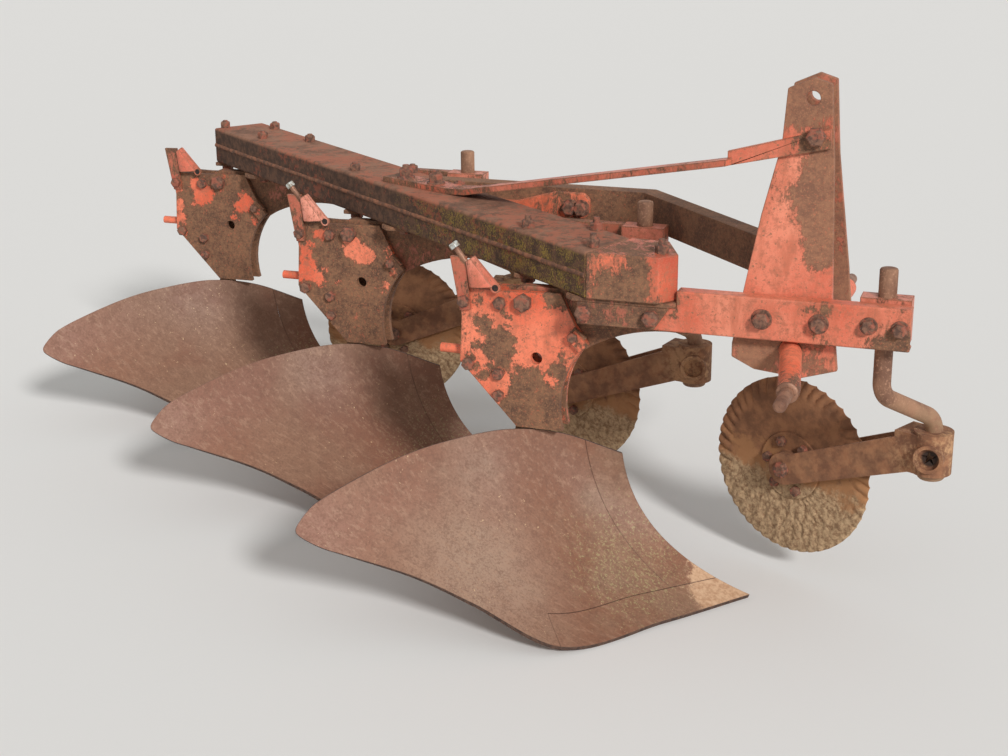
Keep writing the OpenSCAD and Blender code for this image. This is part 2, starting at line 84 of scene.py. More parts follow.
floor_mesh = bmesh.new()
bmesh.ops.create_grid(floor_mesh, x_segments=1, y_segments=1, size=20)
bmesh.ops.translate(floor_mesh, verts=floor_mesh.verts, vec=(0, 0, GROUND))
floor = bpy.data.objects.new("floor", bpy.data.meshes.new("floor"))
floor_mesh.to_mesh(floor.data)
floor_mesh.free()
bpy.context.scene.collection.objects.link(floor)
floor_finish = bpy.data.materials.new("pale_floor")
floor_finish.use_nodes = True
floor_finish.node_tree.nodes["Principled BSDF"].inputs["Base Color"].default_value = (0.80, 0.79, 0.77, 1)
floor_finish.node_tree.nodes["Principled BSDF"].inputs["Roughness"].default_value = 0.9
floor.data.materials.append(floor_finish)

world = bpy.data.worlds.new("studio")
bpy.context.scene.world = world
world.use_nodes = True
sky = world.node_tree
backdrop = sky.nodes["Background"]
backdrop.inputs["Color"].default_value = (0.93, 0.93, 0.92, 1)
rays = sky.nodes.new("ShaderNodeLightPath")
seen = sky.nodes.new("ShaderNodeMath")
seen.operation = "MAXIMUM"
sky.links.new(rays.outputs["Is Camera Ray"], seen.inputs[0])
sky.links.new(rays.outputs["Is Glossy Ray"], seen.inputs[1])
level = sky.nodes.new("ShaderNodeMapRange")
level.inputs["To Min"].default_value = 0.50
level.inputs["To Max"].default_value = 1.0
sky.links.new(seen.outputs[0], level.inputs["Value"])
sky.links.new(level.outputs[0], backdrop.inputs["Strength"])

sun = bpy.data.objects.new("sun", bpy.data.lights.new("sun", "SUN"))
sun.data.energy = 2.6
sun.data.angle = math.radians(9)
sun.rotation_euler = Vector(SUN_WAY).to_track_quat("-Z", "Y").to_euler()
bpy.context.scene.collection.objects.link(sun)


# Diagonal box beam.
# A long rolled steel box that carries every bottom, once red and now mostly rusted brown.
# Each side has a rough weld seam along its middle; yellow lichen grows on the side that faces the sun.
class Finish:
    """A material laid up in coats, placed by the part's own coordinates at rest."""

    def __init__(self, name, metallic=0.0, specular=0.5):
        self.material = bpy.data.materials.new(name)
        self.material.use_nodes = True
        self.tree = self.material.node_tree
        self.shader = self.tree.nodes["Principled BSDF"]
        self.shader.inputs["Metallic"].default_value = metallic
        self.shader.inputs["Specular IOR Level"].default_value = specular
        self.place = self.add("ShaderNodeTexCoord").outputs["Object"]
        self.ragged = None

    def add(self, kind, inputs=(), **settings):
        node = self.tree.nodes.new(kind)
        for key, value in settings.items():
            setattr(node, key, value)
        for key, value in dict(inputs).items():
            self.feed(node.inputs[key], value)
        return node

    def feed(self, socket, value):
        if isinstance(value, bpy.types.NodeSocket):
            self.tree.links.new(value, socket)
        elif socket.type == "RGBA" and len(value) == 3:
            socket.default_value = (*value, 1)
        else:
            socket.default_value = value

    def grain(self, scale, detail=5, rough=0.6, stretch=(1, 1, 1), shift=0.0):
        place = self.add(
            "ShaderNodeMapping",
            {"Vector": self.place, "Scale": stretch, "Location": (shift, 1.7 * shift, 0.6 * shift)},
        )
        return self.add(
            "ShaderNodeTexNoise",
            {"Vector": place.outputs[0], "Scale": scale, "Detail": detail, "Roughness": rough},
        ).outputs[0]

    def math(self, operation, a, b=0.0):
        return self.add("ShaderNodeMath", {0: a, 1: b}, operation=operation).outputs[0]

    def total(self, *terms):
        value = 0.0
        for term, weight in terms:
            value = self.math("ADD", self.math("MULTIPLY", term, weight), value)
        return value

    def step(self, value, low, high, out=(0.0, 1.0)):
        return self.add(
            "ShaderNodeMapRange",
            {"Value": value, "From Min": low, "From Max": high, "To Min": out[0], "To Max": out[1]},
            interpolation_type="SMOOTHSTEP",
        ).outputs[0]

    def mix(self, factor, a, b):
        node = self.add("ShaderNodeMix", data_type="RGBA")
        self.feed(node.inputs[0], factor)
        self.feed(node.inputs[6], a)
        self.feed(node.inputs[7], b)
        return node.outputs[2]

    def mottled(self, scale, detail, rough, low, high, dark, light, shift=0.0):
        """Two colours, spread by one grain."""
        return self.mix(self.step(self.grain(scale, detail, rough, shift=shift), low, high), dark, light)

    def axis(self, letter):
        return self.add("ShaderNodeSeparateXYZ", {0: self.place}).outputs[letter]

    def near(self, point, radius, weight):
        """A ragged blob: weight at the point, falling to nothing at twice the radius."""
        if self.ragged is None:
            noise_at = self.add(
                "ShaderNodeTexNoise", {"Vector": self.place, "Scale": 42, "Detail": 9, "Roughness": 0.74}
            ).outputs["Color"]
            shove = self.add("ShaderNodeVectorMath", {0: noise_at, 1: (0.5, 0.5, 0.5)}, operation="SUBTRACT")
            self.ragged = self.add(
                "ShaderNodeVectorMath", {0: shove.outputs[0], 1: (0.085, 0.085, 0.085), 2: self.place},
                operation="MULTIPLY_ADD",
            ).outputs[0]
        away = self.add("ShaderNodeVectorMath", {0: self.ragged, 1: point}, operation="DISTANCE")
        return self.step(away.outputs["Value"], 0.3 * radius, 2.0 * radius, (weight, 0.0))

    def patched(self, value, patches):
        for point, radius, weight in patches:
            value = self.math("ADD", value, self.near(point, radius, weight))
        return value

    def worn_edge(self, radius=0.004):
        """1 on sharp corners, 0 on flats."""
        rounded = self.add("ShaderNodeBevel", {"Radius": radius}, samples=4).outputs[0]
        normal = self.add("ShaderNodeNewGeometry").outputs["Normal"]
        match = self.add("ShaderNodeVectorMath", {0: rounded, 1: normal}, operation="DOT_PRODUCT")
        return self.step(match.outputs["Value"], 0.999, 0.90)

    def coat(self, colour, roughness, height=None, depth=0.0006):
        self.feed(self.shader.inputs["Base Color"], colour)
        self.feed(self.shader.inputs["Roughness"], roughness)
        if height is not None:
            bump = self.add("ShaderNodeBump", {"Height": height, "Distance": depth, "Strength": 1.0})
            self.feed(self.shader.inputs["Normal"], bump.outputs[0])
        return self.material


RUST_DARK = (0.106, 0.052, 0.031)
RUST_BROWN = (0.242, 0.118, 0.062)
RUST_LIGHT = (0.420, 0.192, 0.092)
PAINT_RED = (0.740, 0.108, 0.042)
PAINT_FADED = (0.880, 0.225, 0.118)


def rust_colour(finish, shift=0.0):
    rough = finish.total((finish.grain(20, 6, 0.65, shift=shift), 0.5), (finish.grain(130, 5, 0.65), 0.5))
    speck = finish.grain(330, 3, 0.6, shift=shift)
    base = finish.mix(finish.step(rough, 0.38, 0.60), RUST_DARK, RUST_BROWN)
    return finish.mix(finish.step(speck, 0.52, 0.74, (0.0, 0.7)), base, RUST_LIGHT)


def weathered_paint(name, bare, patches, red=PAINT_RED, faded=PAINT_FADED, shift=0.0, dirt=0.60, blush=0.0):
    """Sun-bleached paint that has flaked to rust. Patches add or take away paint around a point, and
    blush is how much of the bleached paint's colour has stayed in the rust."""
    finish = Finish(name)
    island = finish.total(
        (finish.grain(10, 9, 0.62, shift=shift), 0.36),
        (finish.grain(38, 10, 0.74, (1, 1, 0.6), shift + 3), 0.34),
        (finish.grain(170, 7, 0.74, (1, 1, 0.45), shift + 5), 0.30),
    )
    cover = finish.patched(finish.total((island, 1.0), (finish.worn_edge(), -0.13)), patches)
    paint_on = finish.step(cover, bare - 0.010, bare + 0.014)
    rim = finish.step(cover, bare + 0.060, bare + 0.004, (0.0, 0.60))
    sun = finish.step(finish.grain(5, 4, 0.5, shift=shift + 7), 0.35, 0.66)
    streak = finish.step(finish.grain(30, 7, 0.66, (1, 1, 0.2), shift), 0.45, 0.68, (0.0, dirt))
    stain = finish.step(finish.grain(85, 8, 0.74, shift=shift + 2), 0.46, 0.64, (0.0, dirt + 0.08))
    chalk = finish.step(finish.grain(420, 2, 0.5), 0.40, 0.75, (0.0, 0.16))
    paint = finish.mix(sun, red, faded)
    paint = finish.mix(chalk, paint, (0.84, 0.40, 0.26))
    paint = finish.mix(streak, paint, (0.44, 0.115, 0.055))
    paint = finish.mix(stain, paint, (0.40, 0.130, 0.070))
    paint = finish.mix(rim, paint, (0.33, 0.105, 0.055))
    pit = finish.step(finish.grain(170, 5, 0.66, shift=shift), 0.605, 0.655, (0.0, 0.9))
    paint = finish.mix(pit, paint, RUST_BROWN)
    fleck = finish.step(finish.grain(240, 6, 0.74, shift=shift + 4), 0.585, 0.640, (0.0, 0.75))
    bared = finish.mix(fleck, rust_colour(finish, shift), (0.480, 0.120, 0.062))
    if blush:
        bared = finish.mix(blush, bared, (0.700, 0.290, 0.175))
    colour = finish.mix(paint_on, bared, paint)
    roughness = finish.mix(paint_on, (0.86, 0.86, 0.86), (0.50, 0.50, 0.50))
    height = finish.total((paint_on, 0.55), (finish.grain(320, 3, 0.6), 0.35), (finish.grain(60, 4), 0.3))
    return finish.coat(colour, roughness, height, 0.0007)


def at_bottom(n, x, y, z):
    """A place given in millimetres from the trip pivot of bottom n, in metres in the plough's frame."""
    return Vector((-508 - 531 * (n - 1) + x, -62 + 406 * (n - 1) + y, -392 + z)) / 1000


def add_wall(shape, before, after, material=0):
    """A band of faces between two rings of points."""
    for k in range(len(before)):
        beyond = (k + 1) % len(before)
        face = shape.faces.new((before[k], before[beyond], after[beyond], after[k]))
        face.material_index = material


def add_barrel(shape, rings, material=0):
    """A closed skin: each ring of points is joined to the next, and both ends are capped."""
    for before, after in zip(rings, rings[1:]):
        add_wall(shape, before, after, material)
    for end in (rings[0][::-1], rings[-1]):
        shape.faces.new(end).material_index = material


def outward(shape):
    bmesh.ops.recalc_face_normals(shape, faces=shape.faces)
    return shape


def add_piece(name, shape, coats, body, nodes=(), smooth_angle=32.0, edge=0.0, edge_steps=2):
    """Turns a bmesh into a piece with smooth faces, sharp corners kept and, if asked, worn edges."""
    limit = math.radians(smooth_angle)
    for face in shape.faces:
        face.smooth = True
    for line in shape.edges:
        line.smooth = len(line.link_faces) == 2 and line.calc_face_angle(0.0) < limit
    piece = bpy.data.objects.new(name, bpy.data.meshes.new(name))
    shape.to_mesh(piece.data)
    shape.free()
    for coat in coats:
        piece.data.materials.append(coat)
    if edge:
        bevel = piece.modifiers.new("worn_edge", "BEVEL")
        bevel.width = edge
        bevel.segments = edge_steps
        bevel.limit_method = "ANGLE"
        bevel.angle_limit = limit
        bevel.harden_normals = True
    bpy.context.scene.collection.objects.link(piece)
    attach(piece, body)
    if nodes:
        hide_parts(*nodes)


def worn_copy(node, coats, edge, edge_steps=2):
    """A node's own solid, without the lines between its flat triangles and with its edges worn round."""
    solid = frame["nodes"][node]
    shape = bmesh.new()
    shape.from_mesh(solid.data)
    bmesh.ops.remove_doubles(shape, verts=shape.verts, dist=2e-6)
    bmesh.ops.dissolve_limit(shape, angle_limit=math.radians(1.0), verts=shape.verts, edges=shape.edges)
    add_piece(node + "_worn", shape, coats, solid["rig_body"], (node,), edge=edge, edge_steps=edge_steps)


BEAM_CORNER = at_bottom(1, 139, -97, 37)
BEAM_WAY = Vector((-531, 406, 0)).normalized()
BEAM_SIDE = Vector((406, 531, 0)).normalized()
BEAM_LENGTH = 2 * math.hypot(0.531, 0.406) + 0.227
BEAM_WIDTH = 0.133
BEAM_HEIGHT = 0.085
BEAM_MITRE = 0.040
BEAM_OUTLINE = ((0, 0), (BEAM_MITRE, BEAM_WIDTH), (BEAM_LENGTH, BEAM_WIDTH), (BEAM_LENGTH, 0))
BELOW_TOP, NEAR_TOP = -0.279, -0.272
SEAM_STEPS = 260
SEAM_END, SEAM_BEAD = 0.004, 0.0030


def on_beam(along, across, up):
    return BEAM_CORNER + BEAM_WAY * along + BEAM_SIDE * across + Vector((0, 0, up))


finish = Finish("beam_rust", specular=0.25)
colour = finish.mottled(60, 7, 0.68, 0.38, 0.64, (0.060, 0.034, 0.024), (0.135, 0.068, 0.042))
on_top = finish.step(finish.axis("Z"), BELOW_TOP, NEAR_TOP)
# Dust on the top; its lighter colour is partly dust and partly painted sunlight on the top.
dust_and_top_light = finish.step(finish.grain(16, 9, 0.72), 0.36, 0.60, (0.25, 0.90))
colour = finish.mix(finish.math("MULTIPLY", on_top, dust_and_top_light), colour, (0.330, 0.165, 0.105))
red_left = finish.total((finish.grain(9, 8, 0.62), 0.5), (finish.grain(90, 8, 0.70), 0.5), (on_top, 0.045))
# The red is given twice: a lighter copy on the top as painted sunlight and a darker copy on the sides as
# painted shade.
red = finish.mix(on_top, (0.240, 0.070, 0.040), (0.400, 0.135, 0.080))
colour = finish.mix(finish.step(red_left, 0.540, 0.575, (0.0, 0.75)), colour, red)
# Sharp edges painted lighter orange: partly worn rust, partly a painted highlight along them.
edge_rust_and_highlight = finish.math("MULTIPLY", finish.worn_edge(0.005), 0.55)
colour = finish.mix(edge_rust_and_highlight, colour, (0.330, 0.125, 0.060))
toward_hitch = finish.step(finish.axis("X"), -1.30, -0.60, (-0.10, 0.04))
lichen = finish.total(
    (finish.grain(420, 7, 0.76, (1, 1, 0.6)), 0.7), (finish.grain(24, 6, 0.68), 0.3), (toward_hitch, 1.0)
)
on_side = finish.step(finish.axis("Z"), NEAR_TOP, BELOW_TOP)
lichen = finish.math("MULTIPLY", finish.step(lichen, 0.538, 0.612, (0.0, 0.80)), on_side)
colour = finish.mix(lichen, colour, (0.330, 0.225, 0.045))
height = finish.total((finish.grain(260, 4), 0.6), (finish.grain(40, 5), 0.5))
beam_material = finish.coat(colour, 0.84, height, 0.0009)

beam = bmesh.new()
add_barrel(beam, [
    [beam.verts.new(on_beam(along, across, up)) for along, across in BEAM_OUTLINE] for up in (0, BEAM_HEIGHT)
])
add_piece("main_beam_box", outward(beam), [beam_material], "frame", ("main_beam",),
          edge=0.005, edge_steps=4)

finish = Finish("seam_rust")
colour = finish.mottled(70, 6, 0.68, 0.38, 0.64, (0.110, 0.052, 0.032), (0.300, 0.120, 0.060))
seam_material = finish.coat(colour, 0.84, finish.grain(420, 4), 0.0006)

for side, across, start in (("right", 0.0, SEAM_END), ("left", BEAM_WIDTH, BEAM_MITRE + SEAM_END)):
    seam = bmesh.new()
    rings = []
    for i in range(SEAM_STEPS + 1):
        along = start + (BEAM_LENGTH - start - SEAM_END) * i / SEAM_STEPS
        middle = BEAM_HEIGHT / 2 + 0.0010 * noise.noise(Vector((along * 24, across, 3.1)))
        bead = SEAM_BEAD + 0.0007 * noise.noise(Vector((along * 90, across, 0.4)))
        rings.append([
            seam.verts.new(on_beam(along, across + bead * math.cos(a), middle + 1.5 * bead * math.sin(a)))
            for a in (math.tau * k / 8 for k in range(8))
        ])
    add_barrel(seam, rings)
    add_piece("beam_seam_" + side, outward(seam), [seam_material], "frame", smooth_angle=60)

# End cap of the beam.
# A welded box of plate with cut corners that closes the front end; its paint has worn off low down.
CAP_PATCHES = (
    (190, -97, 52, 32, -0.10), (235, -97, 85, 26, -0.06), (245, -97, 50, 26, -0.07), (185, -97, 92, 32, 0.07),
    (215, -97, 70, 22, 0.05), (288, -80, 80, 40, 0.06), (220, -20, 122, 80, -0.05),
)


def patches_at(n, spots):
    """Patches from spots in millimetres from the trip pivot of bottom n: x, y, z, radius and weight."""
    return [(at_bottom(n, x, y, z), radius / 1000, weight) for x, y, z, radius, weight in spots]


cap_material = weathered_paint(
    "cap_paint", 0.482, patches_at(1, CAP_PATCHES), (0.46, 0.070, 0.034), (0.74, 0.165, 0.080), 1.3, dirt=0.78
)
worn_copy("beam_end_cap", [cap_material], edge=0.003, edge_steps=3)

# Brackets under the beam and their bolts.
# Each bottom hangs from a flat plate that four long bolts clamp to the beam; the nuts show on top.
# The front plate also carries a heavy angle that takes the end of the hitch channel.
bracket_material = weathered_paint(
    "bracket_paint", 0.535, (), (0.34, 0.080, 0.048), (0.44, 0.125, 0.080), shift=2.1
)
for n in (1, 2, 3):
    worn_copy(f"beam_bracket_{n}", [bracket_material], edge=0.0015)
worn_copy("channel_angle", [bracket_material], edge=0.0025)

finish = Finish("bolt_rust")
rust = finish.mottled(120, 5, 0.65, 0.38, 0.62, (0.090, 0.044, 0.030), (0.225, 0.108, 0.066))
red_left = finish.step(finish.grain(70, 6, 0.65), 0.50, 0.58, (0.0, 0.7))
colour = finish.mix(red_left, rust, (0.360, 0.100, 0.058))
bolt_material = finish.coat(colour, 0.8, finish.grain(420, 4), 0.0006)


BOLT_SUNK = 0.001


def ring_of(shape, centre, side, other, radius, count, phase=0.0):
    """A ring of points about a centre, in the plane of two directions."""
    turns = [phase + math.tau * k / count for k in range(count)]
    return [shape.verts.new(centre + radius * (side * math.cos(a) + other * math.sin(a))) for a in turns]


def add_hex_bolt(shape, place, axis, across, height, turn=0.0, washer=0.0, stub=0.0):
    """One hex head with its chamfered top, and if asked a washer below it or a thread end above."""
    up = Vector(axis).normalized()
    side = up.orthogonal().normalized()

    def add_turned(count, phase, *steps):
        add_barrel(shape, [
            ring_of(shape, Vector(place) + up * rise, side, up.cross(side), radius, count, phase)
            for radius, rise in steps
        ])

    if washer:
        add_turned(24, 0.0, (across * 0.72, -BOLT_SUNK), (across * 0.70, washer))
    corner = across / 2 / math.cos(math.pi / 6)
    top = washer + height
    add_turned(6, turn, (corner, washer - BOLT_SUNK), (corner, washer + height * 0.84), (corner * 0.80, top))
    if stub:
        add_turned(16, 0.0, (across * 0.31, washer + height * 0.9), (across * 0.27, top + stub))


def bolt_piece(name, body, bolts, material=bolt_material):
    shape = bmesh.new()
    for bolt in bolts:
        add_hex_bolt(shape, **bolt)
    add_piece(name, outward(shape), [material], body, smooth_angle=25, edge=0.0007)


RIGHT, LEFT, UP, DOWN = (0, -1, 0), (0, 1, 0), (0, 0, 1), (0, 0, -1)
BEAM_BOLTS = ((-18, 57, 0.3), (110, 75, 0.1), (140, -51, 0.9), (268, -58, 0.5))
NUT_FACE, HEAD_FACE = 122, 28
for n in (1, 2, 3):
    nuts = [
        dict(place=at_bottom(n, x, y, NUT_FACE), axis=UP, across=0.022, height=0.015, turn=turn + n,
             stub=0.010 if n == 1 else 0.003)
        for x, y, turn in BEAM_BOLTS
    ]
    heads = [
        dict(place=at_bottom(n, x, y, HEAD_FACE), axis=DOWN, across=0.024, height=0.013, turn=turn)
        for x, y, turn in BEAM_BOLTS if x != 110
    ]
    bolt_piece(f"beam_bolts_{n}", "frame", nuts + heads)
bolt_piece("angle_bolts", "frame", [
    dict(place=at_bottom(1, x, -87, 9), axis=RIGHT, across=0.027, height=0.015, turn=0.4) for x in (134, 258)
])

# Hitch channel.
# A rolled channel, open to the left, that runs forward from the beam past the mast to the front
# coulter. Its paint is still good; four big bolts hold the mast plate and the coulter clamp.
CHANNEL_PATCHES = (
    (330, -77, 20, 60, 0.10), (400, -77, 25, 60, 0.12), (500, -77, 20, 50, 0.10), (610, -77, 25, 50, 0.10),
    (554, -77, 36, 20, -0.16), (554, -77, 4, 18, -0.12), (300, -77, 40, 22, -0.15), (660, -77, -8, 30, -0.10),
    (590, -77, -14, 20, -0.06), (480, -77, -14, 25, -0.06), (700, -77, 0, 20, -0.06),
)
CHANNEL_BOLTS = ((453, 21, 0.026, 0.2), (552, 21, 0.025, 0.8), (637, 25, 0.022, 0.5), (690, 23, 0.022, 0.1))
channel_material = weathered_paint(
    "channel_paint", 0.470, patches_at(1, CHANNEL_PATCHES), (0.62, 0.120, 0.060), (0.78, 0.260, 0.155),
    shift=5.2, dirt=0.72
)
worn_copy("hitch_channel", [channel_material], edge=0.0035, edge_steps=3)
bolt_piece("channel_bolts", "frame", [
    dict(place=at_bottom(1, x, -77, z), axis=RIGHT, across=wide, height=0.62 * wide, turn=turn, washer=0.003)
    for x, z, wide, turn in CHANNEL_BOLTS
])

# Mast plates, their spacer and the bolts through them.
# Two flame-cut plates stand on the channel and the left rail, lean together and end in the upper
# link hole. The right one has a broad brown patch where sun and hands have taken the paint.
MAST_PATCHES = (
    ((0.020, -0.045, -0.105), 0.038, -0.12), ((0.022, -0.062, -0.165), 0.040, -0.12),
    ((0.034, -0.080, -0.225), 0.038, -0.12), ((0.030, -0.090, -0.270), 0.024, -0.10),
    ((0.050, -0.100, -0.330), 0.034, 0.14), ((0.052, -0.095, -0.285), 0.016, 0.07),
    ((0.002, -0.070, -0.200), 0.030, -0.06), ((0.010, -0.038, 0.012), 0.040, -0.09),
    ((-0.030, -0.038, 0.002), 0.022, -0.04), ((-0.045, -0.080, -0.250), 0.060, 0.12),
    ((-0.030, -0.050, -0.100), 0.035, 0.08), ((0.000, -0.100, -0.322), 0.028, 0.06),
    ((-0.060, -0.100, -0.320), 0.035, 0.06), ((-0.070, -0.100, -0.450), 0.030, -0.10),
    ((-0.010, -0.107, -0.349), 0.022, -0.08), ((-0.060, -0.107, -0.349), 0.018, -0.06),
)
mast_material = weathered_paint(
    "mast_paint", 0.485, MAST_PATCHES, (0.62, 0.125, 0.065), (0.80, 0.275, 0.165), 6.4, dirt=0.66, blush=0.16
)
mast_left_material = weathered_paint(
    "mast_left_paint", 0.52, (), (0.42, 0.100, 0.060), (0.56, 0.175, 0.110), 8.8, blush=0.20
)
worn_copy("mast_plate_right", [mast_material], edge=0.0018)
worn_copy("mast_plate_left", [mast_left_material], edge=0.0018)
worn_copy("mast_spacer", [bolt_material], edge=0.0015)
MAST_BOLT = Vector((0.011, 0, -0.063))
FOOT_BOLTS = (-0.060, 0.014)
FOOT_IN, FOOT_OUT, FOOT_BOLT_HEIGHT = 0.095, 0.117, -0.340
bolt_piece("mast_bolts", "frame", [
    dict(place=MAST_BOLT + Vector((0, 0.038, 0)), axis=LEFT, across=0.030, height=0.018, turn=0.3, stub=0.01),
    *[dict(place=at_bottom(1, x, -33, 21), axis=LEFT, across=0.026, height=0.016, turn=0.6, stub=0.010)
      for x in (453, 552)],
    *[dict(place=(x, FOOT_IN, FOOT_BOLT_HEIGHT), axis=RIGHT, across=0.026, height=0.014, turn=0.2)
      for x in FOOT_BOLTS],
    *[dict(place=(x, FOOT_OUT, FOOT_BOLT_HEIGHT), axis=LEFT, across=0.026, height=0.018, turn=0.5, stub=0.008)
      for x in FOOT_BOLTS],
])

# Brace from the beam up to the mast.
# A flat strap bolted on top of the beam, bent up and twisted on edge where it meets the mast plate.
brace_material = weathered_paint(
    "brace_paint", 0.478, (((-0.09, -0.048, -0.100), 0.05, 0.05), ((0.0, -0.048, -0.070), 0.03, -0.05)),
    (0.58, 0.105, 0.052), (0.72, 0.205, 0.120), shift=9.5
)
worn_copy("mast_brace", [brace_material], edge=0.0016)
BRACE_FRONT = Vector((-0.133, -0.043, 0))
BRACE_REAR = Vector((-0.940, 0.327, 0))
BRACE_TOP = Vector((0, 0, -0.258))
brace_way = (BRACE_FRONT - BRACE_REAR).normalized()
bolt_piece("brace_bolts", "frame", [
    dict(place=MAST_BOLT + Vector((0, -0.048, 0)), axis=RIGHT, across=0.030, height=0.018, turn=0.35),
    *[dict(place=BRACE_REAR + brace_way * away + BRACE_TOP, axis=UP, across=0.027, height=0.017, turn=0.2,
           washer=0.003, stub=0.007)
      for away in (0.045, 0.135)],
])

# Cross shaft.
# A forged round bar through the feet of the mast, cranked forward at both ends. The shoulders stop
# the tractor's lower links, and the bare pins outside them are polished by use and then rusted.
shaft_material = weathered_paint(
    "shaft_paint", 0.47, (((0.01, -0.20, -0.42), 0.05, 0.10), ((0.02, -0.30, -0.43), 0.04, -0.03)), shift=3.3
)
finish = Finish("bare_rusted_steel", 0.35)
steel_tone = finish.step(finish.grain(30, 6, 0.6), 0.35, 0.65)
colour = finish.mix(steel_tone, (0.165, 0.074, 0.045), (0.300, 0.150, 0.092))
fleck = finish.step(finish.grain(260, 4, 0.6), 0.56, 0.66, (0.0, 0.6))
colour = finish.mix(fleck, colour, (0.050, 0.028, 0.020))
roughness = finish.mix(steel_tone, (0.7, 0.7, 0.7), (0.5, 0.5, 0.5))
steel_material = finish.coat(colour, roughness, finish.grain(340, 4), 0.0006)

SHAFT_HEIGHT = -0.432
SHAFT_RADIUS = 0.019
SHAFT_PATH = ((-0.008, 0), (-0.008, 0.112), (-0.003, 0.126), (0.024, 0.300), (0.0275, 0.322), (0.028, 0.3415))
PIN_X = 0.028
PIN_RADIUS = 0.0111
PIN_STEPS = (
    (0.3400, PIN_RADIUS), (0.3420, SHAFT_RADIUS - 0.0005), (0.3440, SHAFT_RADIUS - 0.0010),
    (0.3458, SHAFT_RADIUS - 0.0035), (0.3462, PIN_RADIUS), (0.4120, PIN_RADIUS),
    (0.4155, PIN_RADIUS - 0.0012), (0.4178, PIN_RADIUS - 0.0040), (0.4185, PIN_RADIUS - 0.0070),
)


def add_turned_bar(shape, points, radii, count=32, material=0):
    """A round bar along a path, with its own radius at each point and both ends closed."""
    side = (points[1] - points[0]).normalized().orthogonal().normalized()
    rings = []
    for i, (point, radius) in enumerate(zip(points, radii)):
        here = (points[min(i + 1, len(points) - 1)] - points[max(i - 1, 0)]).normalized()
        side = (side - here * side.dot(here)).normalized()
        rings.append(ring_of(shape, point, side, here.cross(side), radius, count))
    add_barrel(shape, rings, material)


shaft = bmesh.new()
half = [Vector((x, y, SHAFT_HEIGHT)) for x, y in SHAFT_PATH]
shaft_line = [Vector((p.x, -p.y, p.z)) for p in half[:0:-1]] + half
add_turned_bar(shaft, shaft_line, [SHAFT_RADIUS] * len(shaft_line))
for hand in (-1, 1):
    pin_line = [Vector((PIN_X, hand * y, SHAFT_HEIGHT)) for y, _ in PIN_STEPS]
    add_turned_bar(shaft, pin_line, [radius for _, radius in PIN_STEPS], material=1)
add_piece("hitch_cross_shaft", outward(shaft), [shaft_material, steel_material], "frame",
          ("hitch_shaft",), smooth_angle=40)

# Left rail and its gusset.
# A bent angle iron, its paint painted dark as painted shade, that ties the left mast plate back to the
# beam, and the painted plate that bolts it on.
# Dark red paint that stands for the shade the rail lies in: painted shade.
rail_material = weathered_paint("rail_paint", 0.60, (), (0.20, 0.070, 0.045), (0.26, 0.100, 0.066), shift=7.1)
worn_copy("left_rail", [rail_material], edge=0.002)
gusset_material = weathered_paint("gusset_paint", 0.47, (), shift=10.1)
worn_copy("rail_gusset", [gusset_material], edge=0.002)
bolt_piece("rail_bolts", "frame", [
    dict(place=(x, 0.418, -0.325), axis=RIGHT, across=0.026, height=0.015, turn=0.3, washer=0.003)
    for x in (-0.571, -0.546)
])

# Trip beams.
# The forged bars between the side plates of each standard; the rear two reach on to their coulters.
trip_material = weathered_paint("trip_beam_paint", 0.535, (), (0.34, 0.085, 0.050), (0.45, 0.130, 0.082), 4.6)
for n in (1, 2, 3):
    worn_copy(f"trip_beam_{n}", [trip_material], edge=0.003, edge_steps=3)

# Trip standards with their bolts and keeper plates.
# Two side plates with a deep curved throat, held apart by spacers. The front one keeps most of its
# paint above the see-through hole; the rear two have only islands of it left.
STANDARD_PAINT = {
    1: (0.470, (
        (54, 6, 15, -0.20), (-88, -6, 8, -0.16), (-30, -32, 6, -0.18), (-44, -97, 24, -0.22),
        (-40, -70, 14, -0.16), (-73, -52, 13, -0.15), (-88, -38, 9, -0.12), (-96, -95, 9, -0.12),
        (16, -168, 30, -0.20), (62, -205, 36, -0.22), (-14, -224, 34, -0.20), (-79, -152, 10, -0.16),
        (75, -89, 12, -0.13), (66, -128, 12, -0.14), (-104, -130, 10, -0.16), (17, -47, 45, 0.16),
        (51, -60, 34, 0.14), (-103, -68, 14, 0.10), (-86, -112, 14, 0.14), (-2, -108, 17, 0.15),
        (36, -112, 12, 0.12), (55, -148, 9, 0.20), (-40, -172, 16, 0.22), (21, -194, 6, 0.16),
        (3, -217, 7, 0.16), (-60, 5, 25, 0.08), (-160, -111, 26, 0.26),
    )),
    2: (0.580, (
        (2, -32, 13, 0.22), (24, -44, 17, 0.24), (45, -53, 12, 0.20), (-105, -86, 22, 0.24),
        (-77, -105, 16, 0.20), (-67, -8, 13, 0.18), (96, -34, 11, 0.18), (102, -70, 10, 0.14),
        (-31, -111, 7, 0.16), (77, -113, 9, 0.16), (-108, -40, 13, 0.18), (104, -154, 12, 0.16),
        (-38, 20, 10, 0.12), (-162, -111, 26, 0.30),
    )),
    3: (0.580, (
        (-115, -65, 14, 0.24), (-115, -100, 12, 0.22), (-117, -20, 12, 0.22), (-50, -30, 20, 0.24),
        (-62, -52, 13, 0.18), (-68, -8, 14, 0.20), (67, -47, 18, 0.24), (39, -80, 10, 0.16),
        (104, -63, 10, 0.16), (-107, -138, 9, 0.16), (91, -94, 9, 0.16), (-162, -111, 26, 0.30),
    )),
}
PLATE_FACE = -26
STANDARD_BOLTS = (
    (-115, -5, 0.021, 0.2, 8), (-46, -5, 0.022, 0.7, 0), (0, 0, 0.0305, 0.4, 0), (-110, -129, 0.022, 0.1, 0),
    (-50, -144, 0.021, 0.9, 0), (-50, -187, 0.020, 0.3, 0), (98, -57, 0.018, 0.5, 8),
)
THIN_NUT = 0.006
